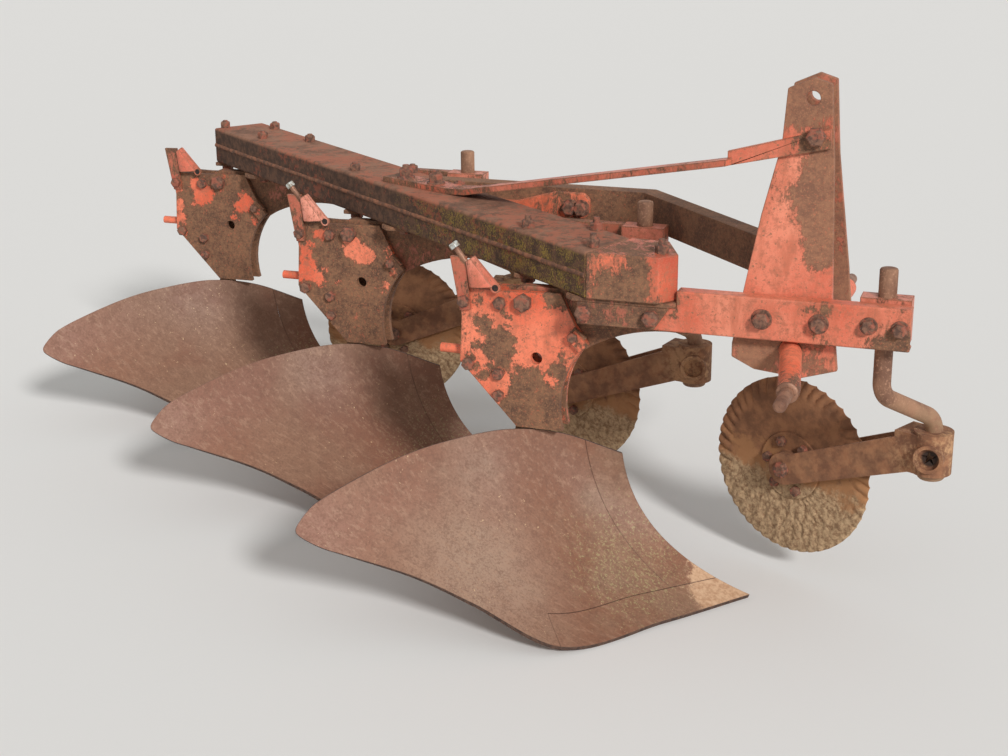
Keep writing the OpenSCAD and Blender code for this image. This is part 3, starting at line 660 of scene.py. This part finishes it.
KEEPER, KEEPER_THICK = ((100, -38), (124, -57), (104, -78), (87, -56)), 8
strap_material = weathered_paint("strap_paint", 0.480, (), (0.40, 0.078, 0.044), (0.54, 0.130, 0.076), 4.9)


def add_plate(shape, n, outline, y0, y1, material=0):
    """A plate of bottom n from its side view, given as x and z, made solid from y0 to y1."""
    near_face, far_face = [[shape.verts.new(at_bottom(n, x, y, z)) for x, z in outline] for y in (y0, y1)]
    faces = [shape.faces.new(near_face), shape.faces.new(far_face[::-1])]
    for k in range(len(outline)):
        after = (k + 1) % len(outline)
        faces.append(shape.faces.new((near_face[after], near_face[k], far_face[k], far_face[after])))
    for face in faces:
        face.material_index = material
    bmesh.ops.recalc_face_normals(shape, faces=faces)


for n, (bare, spots) in STANDARD_PAINT.items():
    patches = patches_at(n, [(x, PLATE_FACE, z, radius, weight) for x, z, radius, weight in spots])
    standard_material = weathered_paint(f"standard_paint_{n}", bare, patches, shift=11.0 + 2.7 * n)
    worn_copy(f"standard_{n}", [standard_material], edge=0.0016)
    bolts = []
    for x, z, wide, turn, lift in STANDARD_BOLTS:
        bolts += [
            dict(place=at_bottom(n, x, PLATE_FACE - lift, z), axis=RIGHT, across=wide, height=0.55 * wide,
                 turn=turn + 0.4 * n),
            dict(place=at_bottom(n, x, -PLATE_FACE, z), axis=LEFT, across=wide, height=THIN_NUT, turn=turn),
        ]
    bolt_piece(f"standard_bolts_{n}", f"bottom_{n}", bolts)
    keeper = bmesh.new()
    add_plate(keeper, n, KEEPER, PLATE_FACE - KEEPER_THICK, PLATE_FACE)
    add_piece(f"latch_keeper_{n}", keeper, [bracket_material], f"bottom_{n}", edge=0.0012)

# Trip adjusters.
# A strap and a folded steel horn, welded to each standard, guide the zinc-plated screw that sets the
# trip; the horn's flange ends in an eye. The rear one has lost its screw.
horn_material = weathered_paint("horn_paint", 0.42, (), (0.66, 0.140, 0.080), (0.84, 0.330, 0.235), shift=2.9)
# Near-black painted shade for the horn's open end and the eye's bore, where their inside lies in shadow.
finish = Finish("eye_shadow")
colour = finish.mottled(200, 4, 0.6, 0.4, 0.6, (0.012, 0.008, 0.007), (0.040, 0.022, 0.016))
eye_painted_shade = finish.coat(colour, 0.9)
finish = Finish("dull_zinc", 0.7)
zinc = finish.mottled(160, 5, 0.6, 0.40, 0.66, (0.52, 0.53, 0.50), (0.26, 0.21, 0.15))
zinc_material = finish.coat(zinc, 0.46, finish.grain(500, 3), 0.0003)
STRAP = ((-142, 79), (-110, 80), (-103, -22), (-124, -24))
STRAP_FACE = PLATE_FACE - 8
SCREW_TOP, SCREW_FOOT, SCREW_RADIUS = (-138, 104), (-104, 60), 0.0055
HORN_Y = -34
HORN_CAP, CAP_HALF, CAP_DEEP = (-101, 78), (8.5, 5.6), 10
HORN_RIM, RIM_HALF, RIM_DEEP = (-74, 26), (30, 3.4), 12
HORN_TURNS = [math.tau * k / 40 for k in range(40)]
EYE_X, EYE_Z, EYE_BORE, EYE_LIP = -50, 27, 6.5, 10
EYE_FACE, EYE_THICK, EYE_DEEP = HORN_Y - 9, 5, 1
EYE_FLANGE = ((-98, 80), (-91, 85))
adjuster_coats = [horn_material, strap_material, steel_material, eye_painted_shade]
STRAP_COAT, SCREW_COAT, PAINTED_SHADE_COAT = 1, 2, 3
for n in (1, 2, 3):
    adjuster = bmesh.new()
    add_plate(adjuster, n, STRAP, STRAP_FACE, PLATE_FACE, STRAP_COAT)
    cap, rim = [
        [adjuster.verts.new(at_bottom(
            n, x + wide * math.cos(a), HORN_Y + deep * math.sin(a), z + high * math.cos(a)
        )) for a in HORN_TURNS]
        for (x, z), (wide, high), deep in ((HORN_CAP, CAP_HALF, CAP_DEEP), (HORN_RIM, RIM_HALF, RIM_DEEP))
    ]
    for k in range(len(HORN_TURNS)):
        adjuster.faces.new((cap[k], cap[k - 1], rim[k - 1], rim[k]))
    adjuster.faces.new(cap)
    # The horn's open end is closed by a face of painted shade.
    adjuster.faces.new(rim[::-1]).material_index = PAINTED_SHADE_COAT
    around = [math.radians(-115 + 230 * k / 20) for k in range(21)]
    eye = [(EYE_X + EYE_LIP * math.sin(a), EYE_Z - EYE_LIP * math.cos(a)) for a in around]
    add_plate(adjuster, n, [EYE_FLANGE[0], *eye, EYE_FLANGE[1]], EYE_FACE, EYE_FACE + EYE_THICK)
    bore = [(EYE_X + EYE_BORE * math.cos(a), EYE_Z + EYE_BORE * math.sin(a)) for a in HORN_TURNS[::2]]
    # A disc of painted shade inside the eye's bore.
    add_plate(adjuster, n, bore, EYE_FACE - 0.4, EYE_FACE + EYE_DEEP, PAINTED_SHADE_COAT)
    if n < 3:
        head, foot = [at_bottom(n, x, STRAP_FACE + 4, z) for x, z in (SCREW_TOP, SCREW_FOOT)]
        add_turned_bar(adjuster, [head, foot], [SCREW_RADIUS, SCREW_RADIUS], 20, SCREW_COAT)
        place = head + 0.010 * (foot - head).normalized()
        bolt_piece(f"trip_screw_head_{n}", f"bottom_{n}", [
            dict(place=place, axis=head - foot, across=0.018, height=0.010, turn=0.4)
        ], zinc_material)
    add_piece(f"trip_adjuster_{n}_worn", adjuster, adjuster_coats, f"bottom_{n}",
              (f"trip_adjuster_{n}",), edge=0.0008)

# Frogs and landsides.
# The frog is the rough casting behind the moldboard, with soil in its hollows. The landside is a
# flat bar on its left that slides along the furrow wall and is scoured by it.
finish = Finish("frog_casting")
soil_on = finish.total((finish.grain(14, 8, 0.65), 0.6), (finish.grain(90, 6, 0.65), 0.4))
soil_on = finish.step(soil_on, 0.44, 0.56)
colour = finish.mix(soil_on, rust_colour(finish, 6.0), (0.300, 0.165, 0.090))
height = finish.total((finish.grain(180, 5, 0.7), 0.7), (soil_on, 0.5))
cast_material = finish.coat(colour, 0.9, height, 0.0012)
for n in (1, 2, 3):
    worn_copy(f"frog_{n}", [cast_material], edge=0.003, edge_steps=3)
    worn_copy(f"landside_{n}", [steel_material], edge=0.002)
    bolt_piece(f"landside_bolts_{n}", f"bottom_{n}", [
        dict(place=at_bottom(n, x, 65, -545), axis=LEFT, across=0.022, height=0.006, turn=0.3)
        for x in (-40, 40, 150)
    ])

# Share, shin and moldboard.
# Three pressed steel plates make one twisted face that lifts and turns the furrow slice. Share and
# shin wear and come off alone, so thin dark joints show; soil has dried on the share's point.
SKIN = (
    (0.00, 428, 65, -574, 173, 54, -309, 0.90, 0.30),
    (0.25, 300, -96, -573, 62, 12, -265, 0.85, 0.31),
    (0.50, 150, -272, -566, -27, -50, -246, 0.80, 0.34),
    (0.66, -10, -296, -492, -112, -112, -254, 0.74, 0.36),
    (0.80, -120, -306, -450, -190, -196, -270, 0.66, 0.40),
    (0.92, -232, -342, -410, -276, -306, -308, 0.60, 0.45),
    (1.00, -313, -375, -380, -328, -362, -344, 0.50, 0.50),
)
SHARE_TOP, SHARE_END, SHIN_END = 0.155, 0.5, 0.15
TIP_ROUND = 0.95
JOINT = 0.0006
SIDE_JOINT = 0.0003
PLATE = 0.008
SHARE_PLATE = 0.010


def skin_values(s):
    """The skin's table, smoothly between its sections."""
    i = max(k for k in range(len(SKIN) - 1) if SKIN[k][0] <= s + 1e-9)
    wide = SKIN[i + 1][0] - SKIN[i][0]
    t = (s - SKIN[i][0]) / wide

    def slope(col, k):
        a, b = max(k - 1, 0), min(k + 1, len(SKIN) - 1)
        return (SKIN[b][col] - SKIN[a][col]) / (SKIN[b][0] - SKIN[a][0])

    return [
        (2 * t**3 - 3 * t**2 + 1) * SKIN[i][c] + (t**3 - 2 * t**2 + t) * slope(c, i) * wide
        + (3 * t**2 - 2 * t**3) * SKIN[i + 1][c] + (t**3 - t**2) * slope(c, i + 1) * wide
        for c in range(1, 9)
    ]


def skin_point(s, v):
    values = skin_values(s)
    low, high = Vector(values[:3]), Vector(values[3:6])
    across, up = values[6:]
    span = high - low
    bulge = low + Vector((span.x * across, span.y * across, span.z * up))
    return (1 - v) ** 2 * low + 2 * v * (1 - v) * bulge + v**2 * high


def skin_normal(s, v):
    d = 0.004
    s0, v0 = min(s, 1 - d), min(v, 1 - d)
    here = skin_point(s0, v0)
    return (skin_point(s0, v0 + d) - here).cross(skin_point(s0 + d, v0) - here).normalized()


def skin_plate(kind, n, patches, depth, coats):
    """A plate of the skin, made of patches of face that share their rims. Each patch is a list of
    columns, and each column lists the spots (s, v) from its lower end to its upper one."""
    shape = bmesh.new()
    origin = at_bottom(n, 0, 0, 0)
    front, back = {}, {}

    def pair(spot):
        key = (round(spot[0], 5), round(spot[1], 5))
        if key not in front:
            front[key] = shape.verts.new(origin + skin_point(*spot) / 1000)
            behind = skin_point(*spot) - depth * 1000 * skin_normal(*spot)
            back[key] = shape.verts.new(origin + behind / 1000)
        return key

    rims = {}
    for columns in patches:
        keys = [[pair(spot) for spot in column] for column in columns]
        for left, right in zip(keys, keys[1:]):
            for j in range(len(left) - 1):
                corners = (left[j], right[j], right[j + 1], left[j + 1])
                shape.faces.new([front[key] for key in corners])
                shape.faces.new([back[key] for key in reversed(corners)])
                for a, b in zip(corners, corners[1:] + corners[:1]):
                    if (b, a) in rims:
                        del rims[(b, a)]
                    else:
                        rims[(a, b)] = True
    for a, b in rims:
        wall = shape.faces.new((front[b], front[a], back[a], back[b]))
        wall.material_index = 1
    add_piece(f"{kind}_{n}_plate", outward(shape), coats, f"bottom_{n}", (f"{kind}_{n}",), 40, 0.0010)


def skin_column(s, low, high, rows):
    return [(s, low + (high - low) * j / rows) for j in range(rows + 1)]


SHARE_SOIL = (
    (415, 58, -566, 72, 0.42), (372, 64, -524, 48, 0.34), (330, 64, -485, 26, 0.22), (345, 20, -562, 40, 0.18)
)


def skin_finish(name, n):
    """Smooth brown steel, scratched the way the soil slides, with pale specks, lichen and soil low down, and
    a pale painted sheen low in the middle of the board.
    """
    finish = Finish(name, specular=0.38)
    # The front board's steel is a little lighter than the rear two's.
    brown = (0.212, 0.090, 0.050) if n == 1 else (0.190, 0.076, 0.042)
    tan = (0.250, 0.142, 0.088) if n == 1 else (0.222, 0.112, 0.066)
    colour = finish.mottled(3.2, 6, 0.62, 0.40, 0.58, brown, tan, n)
    # A pale painted sheen low in the middle of the board: strong on the front board and faint on the rear
    # two.
    painted_sheen = finish.near(at_bottom(n, -10, -250, -470), 0.120, 0.55 if n == 1 else 0.10)
    colour = finish.mix(painted_sheen, colour, (0.420, 0.290, 0.212))
    for x, y, z, radius in ((-290, -350, -375, 0.16), (300, 60, -440, 0.10)):
        colour = finish.mix(finish.near(at_bottom(n, x, y, z), radius, 0.6), colour, (0.250, 0.098, 0.055))
    coarse, small = finish.grain(46, 9, 0.76, shift=n), finish.grain(230, 6, 0.74, shift=n)
    mottle = finish.total((coarse, 0.4), (small, 0.6))
    fine = finish.step(mottle, 0.44, 0.60, (0.0, 0.55))
    colour = finish.mix(fine, colour, (0.130, 0.060, 0.038))
    scratch = finish.step(finish.grain(130, 8, 0.76, (0.22, 1.0, 0.5), 0.4 * n), 0.50, 0.63, (0.0, 0.42))
    colour = finish.mix(scratch, colour, (0.370, 0.215, 0.138))
    speck = finish.step(finish.grain(150, 6, 0.74, shift=n), 0.622, 0.662)
    crowd = finish.step(finish.grain(9, 4, 0.6, shift=2 + n), 0.45, 0.60)
    colour = finish.mix(finish.math("MULTIPLY", speck, crowd), colour, (0.620, 0.420, 0.240))
    patch = finish.near(at_bottom(n, 225, -40, -490), 0.130, 0.15)
    lichen = finish.total((finish.grain(185, 7, 0.74, shift=5 + n), 1.0), (patch, 1.0))
    colour = finish.mix(finish.step(lichen, 0.665, 0.730, (0.0, 0.60)), colour, (0.370, 0.310, 0.150))
    low = finish.add("ShaderNodeMapRange", {
        "Value": finish.axis("Z"), "From Min": GROUND + 0.060, "From Max": GROUND + 0.005,
    }).outputs[0]
    soil = finish.patched(finish.total((low, 0.12), (mottle, 0.9)), patches_at(n, SHARE_SOIL))
    soil = finish.step(soil, 0.66, 0.84, (0.0, 0.92))
    clods = finish.mottled(90, 6, 0.7, 0.36, 0.62, (0.450, 0.255, 0.145), (0.640, 0.420, 0.265))
    colour = finish.mix(soil, colour, clods)
    rim = finish.math("MULTIPLY", finish.worn_edge(0.003), 0.5)
    colour = finish.mix(rim, colour, (0.105, 0.044, 0.028))
    roughness = finish.mix(fine, (0.52, 0.52, 0.52), (0.72, 0.72, 0.72))
    height = finish.total((finish.grain(220, 4, 0.6), 0.3), (soil, 0.8), (mottle, 0.5))
    return finish.coat(colour, roughness, height, 0.0005)


finish = Finish("joint_rust")
joint_rust = finish.mottled(120, 5, 0.65, 0.38, 0.62, (0.045, 0.024, 0.018), (0.110, 0.058, 0.038))
joint_material = finish.coat(joint_rust, 0.85)

for n in (1, 2, 3):
    coats = [skin_finish(f"moldboard_steel_{n}", n), joint_material]
    share_columns = [skin_column(SHARE_END * i / 30, 0.0, SHARE_TOP - JOINT, 8) for i in range(31)]
    skin_plate("share", n, [share_columns], SHARE_PLATE, coats)
    shin_side = SHIN_END - SIDE_JOINT
    shin_columns = [skin_column(shin_side * i / 10, SHARE_TOP + JOINT, 1.0, 36) for i in range(11)]
    skin_plate("shin", n, [shin_columns], PLATE, coats)
    first, tail = SHIN_END + SIDE_JOINT, SHARE_END + SIDE_JOINT
    spans = [(first + (tail - first) * i / 24, 0.0, 1.0) for i in range(25)]
    spans += [(tail + (TIP_ROUND - tail) * i / 32, 0.0, 1.0) for i in range(1, 33)]
    spans += [
        (TIP_ROUND + (1 - TIP_ROUND) * math.sin(a), 0.45 * (1 - math.cos(a)), 0.45 + 0.55 * math.cos(a))
        for a in (math.radians(6 * i) for i in range(1, 15))
    ]
    upper, lower = [], []
    for s, v0, v1 in spans:
        middle = v0 + (v1 - v0) * (SHARE_TOP + JOINT)
        upper.append(skin_column(s, middle, v1, 34))
        if s >= tail:
            lower.append(skin_column(s, v0, middle, 8))
    skin_plate("moldboard", n, [upper, lower], PLATE, coats)

# Coulter clamps and shanks.
# A red casting grips each bent round shank. The shank's own paint is gone and its lower end, which
# carries the swivel, is scoured bare.
clamp_material = weathered_paint("clamp_paint", 0.46, (), (0.55, 0.115, 0.065), (0.68, 0.230, 0.150), 12.0)
finish = Finish("shank_steel", 0.15)
shank_tone = finish.step(finish.grain(20, 7, 0.66, (1, 1, 0.5)), 0.36, 0.64)
colour = finish.mix(shank_tone, (0.175, 0.082, 0.050), (0.350, 0.185, 0.108))
fleck = finish.step(finish.grain(190, 6, 0.72), 0.54, 0.62, (0.0, 0.7))
colour = finish.mix(fleck, colour, (0.460, 0.250, 0.155))
low = finish.step(finish.axis("Z"), -0.50, -0.60)
mud = finish.math("MULTIPLY", low, finish.step(finish.grain(30, 6), 0.4, 0.6))
colour = finish.mix(mud, colour, (0.33, 0.20, 0.115))
shank_material = finish.coat(colour, 0.78, finish.grain(260, 5), 0.0009)

SHANK_X = 660
SHANK_Y = {1: -24, 2: -35, 3: -35}
SHANK_RADIUS = 0.016
SHANK_TOP = 116
BEND_TOP, BEND_RADIUS, BEND_RUN = -90, 40, 104
BEND_ANGLE = math.radians(63)
shank_turn = math.atan2(109, 92)
bend_reach = 2 * BEND_RADIUS * (1 - math.cos(BEND_ANGLE)) + BEND_RUN * math.sin(BEND_ANGLE)
bend_drop = 2 * BEND_RADIUS * math.sin(BEND_ANGLE) + BEND_RUN * math.cos(BEND_ANGLE)
HEAD_TOP = BEND_TOP - bend_drop + 2
HEAD_HEIGHT = 80
SHANK_FOOT = HEAD_TOP - HEAD_HEIGHT
bend_turns = [BEND_ANGLE * i / 8 for i in range(9)]
bend = [(BEND_RADIUS * (1 - math.cos(a)), BEND_RADIUS * math.sin(a)) for a in bend_turns]
shank_line = [
    (0, SHANK_TOP, -0.0035), (0, SHANK_TOP - 1, -0.0012), (0, SHANK_TOP - 3.5, 0),
    (0, 60, 0), (0, BEND_TOP + 2, 0),
    *((out, BEND_TOP - drop, 0) for out, drop in bend),
    *((bend_reach - out, BEND_TOP - bend_drop + drop, 0) for out, drop in bend[::-1]),
    (bend_reach, SHANK_FOOT - 1, 0), (bend_reach, SHANK_FOOT - 1.2, 0.008),
    (bend_reach, SHANK_FOOT - 10, 0.008), (bend_reach, SHANK_FOOT - 12, 0.006),
]


def shank_place(n, out, z):
    """A place on the line of a shank, out from its upper part toward its foot."""
    return at_bottom(n, SHANK_X + out * math.cos(shank_turn), SHANK_Y[n] + out * math.sin(shank_turn), z)


for n in (1, 2, 3):
    worn_copy(f"coulter_clamp_{n}", [clamp_material], edge=0.007, edge_steps=4)
    shank = bmesh.new()
    places = [shank_place(n, out, z) for out, z, _ in shank_line]
    add_turned_bar(shank, places, [SHANK_RADIUS + more for _, _, more in shank_line], 28)
    add_piece(f"coulter_shank_{n}_bar", outward(shank), [shank_material], "frame",
              (f"coulter_shank_{n}",), smooth_angle=50)
    if n > 1:
        bolt_piece(f"clamp_bolts_{n}", "frame", [
            dict(place=at_bottom(n, x, -57, 22), axis=RIGHT, across=0.026, height=0.016, turn=0.2,
                 washer=0.003)
            for x in (637, 690)
        ])

# Coulter yokes.
# A cast swivel head turns on the foot of the shank, with two plate cheeks running back to the disc.
# The head has a round pocket; on the front coulter its floor has broken out in a ragged star, and a round
# spot there is painted near-black as painted shade.
COULTER_SWING = {1: -26, 2: -12, 3: 8}
HUB_PLACE = Vector((-0.306, 0, -0.356))
CHEEK_FACE = 0.032
POCKET_PLACE = Vector((0.012, -0.028, (HEAD_TOP - 44) / 1000))


def swivel_frame(n):
    """From a coulter's own frame, swivel axis at the origin and disc to the rear, to the plough's frame."""
    swing = Matrix.Rotation(math.radians(COULTER_SWING[n]), 4, "Z")
    return Matrix.Translation(shank_place(n, bend_reach, 0)) @ swing


for n in (1, 2, 3):
    finish = Finish(f"yoke_casting_{n}")
    earth = finish.total((finish.grain(11, 8, 0.66, shift=n), 0.5), (finish.grain(95, 7, 0.70), 0.5))
    casting = finish.mottled(36, 5, 0.6, 0.42, 0.66, (0.185, 0.080, 0.042), (0.330, 0.148, 0.072), n)
    at_head = finish.near(swivel_frame(n) @ Vector((0, 0, (HEAD_TOP - HEAD_HEIGHT / 2) / 1000)), 0.050, 0.95)
    earth = finish.math("MULTIPLY", finish.step(earth, 0.44, 0.58), finish.math("ADD", at_head, 0.18))
    casting = finish.mix(earth, casting, (0.520, 0.290, 0.148))
    # A near-black round spot at the pocket: painted shade inside the broken-out floor.
    if n == 1:
        ends = {0: finish.place, 1: swivel_frame(n) @ POCKET_PLACE}
        away = finish.add("ShaderNodeVectorMath", ends, operation="DISTANCE").outputs["Value"]
        casting = finish.mix(finish.step(away, 0.019, 0.012, (0.0, 0.93)), casting, (0.020, 0.012, 0.009))
    height = finish.total((finish.grain(150, 6, 0.7), 0.7), (earth, 0.6))
    yoke_material = finish.coat(casting, 0.9, height, 0.0014)
    worn_copy(f"coulter_arm_{n}", [yoke_material], edge=0.003, edge_steps=3)
    bolt_piece(f"yoke_bolts_{n}", f"coulter_arm_{n}", [
        dict(place=swivel_frame(n) @ (HUB_PLACE + Vector((0, side * CHEEK_FACE, 0))),
             axis=swivel_frame(n).to_3x3() @ Vector((0, side, 0)), across=0.028, height=0.012, turn=0.3 * n)
        for side in (-1, 1)
    ])

# Coulter discs.
# A thin steel disc whose rim is pressed into ripples so that it cuts trash, on a bolted hub flange.
# The lower half is caked with dried soil, thickest near the rim.
DISC_RADIUS, DISC_HALF = 0.178, 0.0025
RIM_BEVEL, RIM_THINNER = 0.020, 0.0016
HUB_RADIUS, HUB_HALF = 0.032, 0.022
FLANGE_RADIUS, FLANGE_HALF = 0.068, 0.007
HUB_BOLT_CIRCLE, HUB_BOLT_TURN = 0.051, 52
BORE_RADIUS = 0.01005
CORNER = 0.001
DISC_STEPS = 26
RIPPLES = 48
RIPPLE_LONG, RIPPLE_FADE = 0.036, 0.012
RIPPLE_DEEP, RIPPLE_SLANT = 0.0060, 2.6
MUD_BELOW, MUD_FADE, MUD_THICK = 0.020, 0.045, 0.0028
AROUND = RIPPLES * 8


def from_0_to_1(value):
    return min(1.0, max(0.0, value))


def add_disc(shape, n):
    """One rippled, mud-caked disc, turned from rings that are a radius and a half thickness each."""
    rings = [(BORE_RADIUS, HUB_HALF), (HUB_RADIUS - 0.0015, HUB_HALF), (HUB_RADIUS, HUB_HALF - 0.0015),
             (HUB_RADIUS, FLANGE_HALF + CORNER), (HUB_RADIUS + CORNER, FLANGE_HALF),
             (FLANGE_RADIUS - CORNER, FLANGE_HALF), (FLANGE_RADIUS, FLANGE_HALF - CORNER),
             (FLANGE_RADIUS, DISC_HALF)]
    for i in range(1, DISC_STEPS + 1):
        r = FLANGE_RADIUS + (DISC_RADIUS - FLANGE_RADIUS) * i / DISC_STEPS
        rings.append((r, DISC_HALF - RIM_THINNER * max(0.0, (r - DISC_RADIUS + RIM_BEVEL) / RIM_BEVEL)))
    sides = []
    for side in (-1, 1):
        loops = []
        for r, half in rings:
            loop = []
            for k in range(AROUND):
                a = math.tau * k / AROUND
                x, z = r * math.cos(a), r * math.sin(a)
                turn = RIPPLES * (a + RIPPLE_SLANT * (r - DISC_RADIUS)) / math.tau
                ripple = RIPPLE_DEEP * from_0_to_1((r - DISC_RADIUS + RIPPLE_LONG) / RIPPLE_FADE)
                ripple *= abs(2 * (turn % 1) - 1) ** 2 - 0.4
                spot = Vector((x * 62 + 5 * n, 3.0 * side, z * 62))
                low = (-z - MUD_BELOW + 0.030 * noise.noise(spot * 0.25)) / MUD_FADE
                cake = from_0_to_1(low) if r > FLANGE_RADIUS + CORNER else 0.0
                lump = MUD_THICK + 0.0026 * noise.noise(spot) + 0.0022 * noise.noise(spot * 2.3)
                if r > DISC_RADIUS - 0.004:
                    cake *= 0.15
                out = side * (half + cake * max(0.0, lump)) + ripple * (1 - 0.85 * cake)
                loop.append(shape.verts.new(swivel_frame(n) @ (HUB_PLACE + Vector((x, out, z)))))
            loops.append(loop)
        for before, after in zip(loops, loops[1:]):
            add_wall(shape, before, after)
        sides.append(loops)
    for i in (0, -1):
        add_wall(shape, sides[0][i], sides[1][i])


for n in (1, 2, 3):
    finish = Finish(f"disc_rust_{n}")
    rust = finish.mottled(26, 8, 0.68, 0.36, 0.64, (0.178, 0.078, 0.038), (0.330, 0.150, 0.070), n)
    middle = finish.total((finish.axis("Z"), -3.2), (finish.grain(20, 8, 0.68, shift=n), 0.9))
    rust = finish.mix(finish.step(middle, 2.72, 2.86, (0.0, 0.85)), rust, (0.400, 0.190, 0.080))
    caked = finish.total((finish.axis("Z"), -4.0), (finish.grain(16, 8, 0.66, shift=n), 0.8))
    caked = finish.step(caked, 3.44, 3.60)
    mud = finish.mottled(110, 8, 0.74, 0.38, 0.60, (0.250, 0.145, 0.075), (0.520, 0.350, 0.200))
    lumps = finish.math("MULTIPLY", caked, finish.grain(110, 6, 0.7))
    height = finish.total((finish.grain(240, 5), 0.5), (lumps, 1.6))
    disc_material = finish.coat(finish.mix(caked, rust, mud), 0.9, height, 0.0016)
    disc = bmesh.new()
    add_disc(disc, n)
    add_piece(f"coulter_disc_{n}_rippled", outward(disc), [disc_material], f"coulter_disc_{n}",
              (f"coulter_disc_{n}",), smooth_angle=42)
    disc_bolts = []
    for side in (-1, 1):
        for k in range(6):
            a = math.radians(60 * k + HUB_BOLT_TURN)
            out, up = HUB_BOLT_CIRCLE * math.cos(a), HUB_BOLT_CIRCLE * math.sin(a)
            disc_bolts.append(dict(
                place=swivel_frame(n) @ (HUB_PLACE + Vector((out, side * FLANGE_HALF, up))),
                axis=swivel_frame(n).to_3x3() @ Vector((0, side, 0)), across=0.019, height=0.01, turn=0.5 * k,
            ))
    bolt_piece(f"disc_bolts_{n}", f"coulter_disc_{n}", disc_bolts)
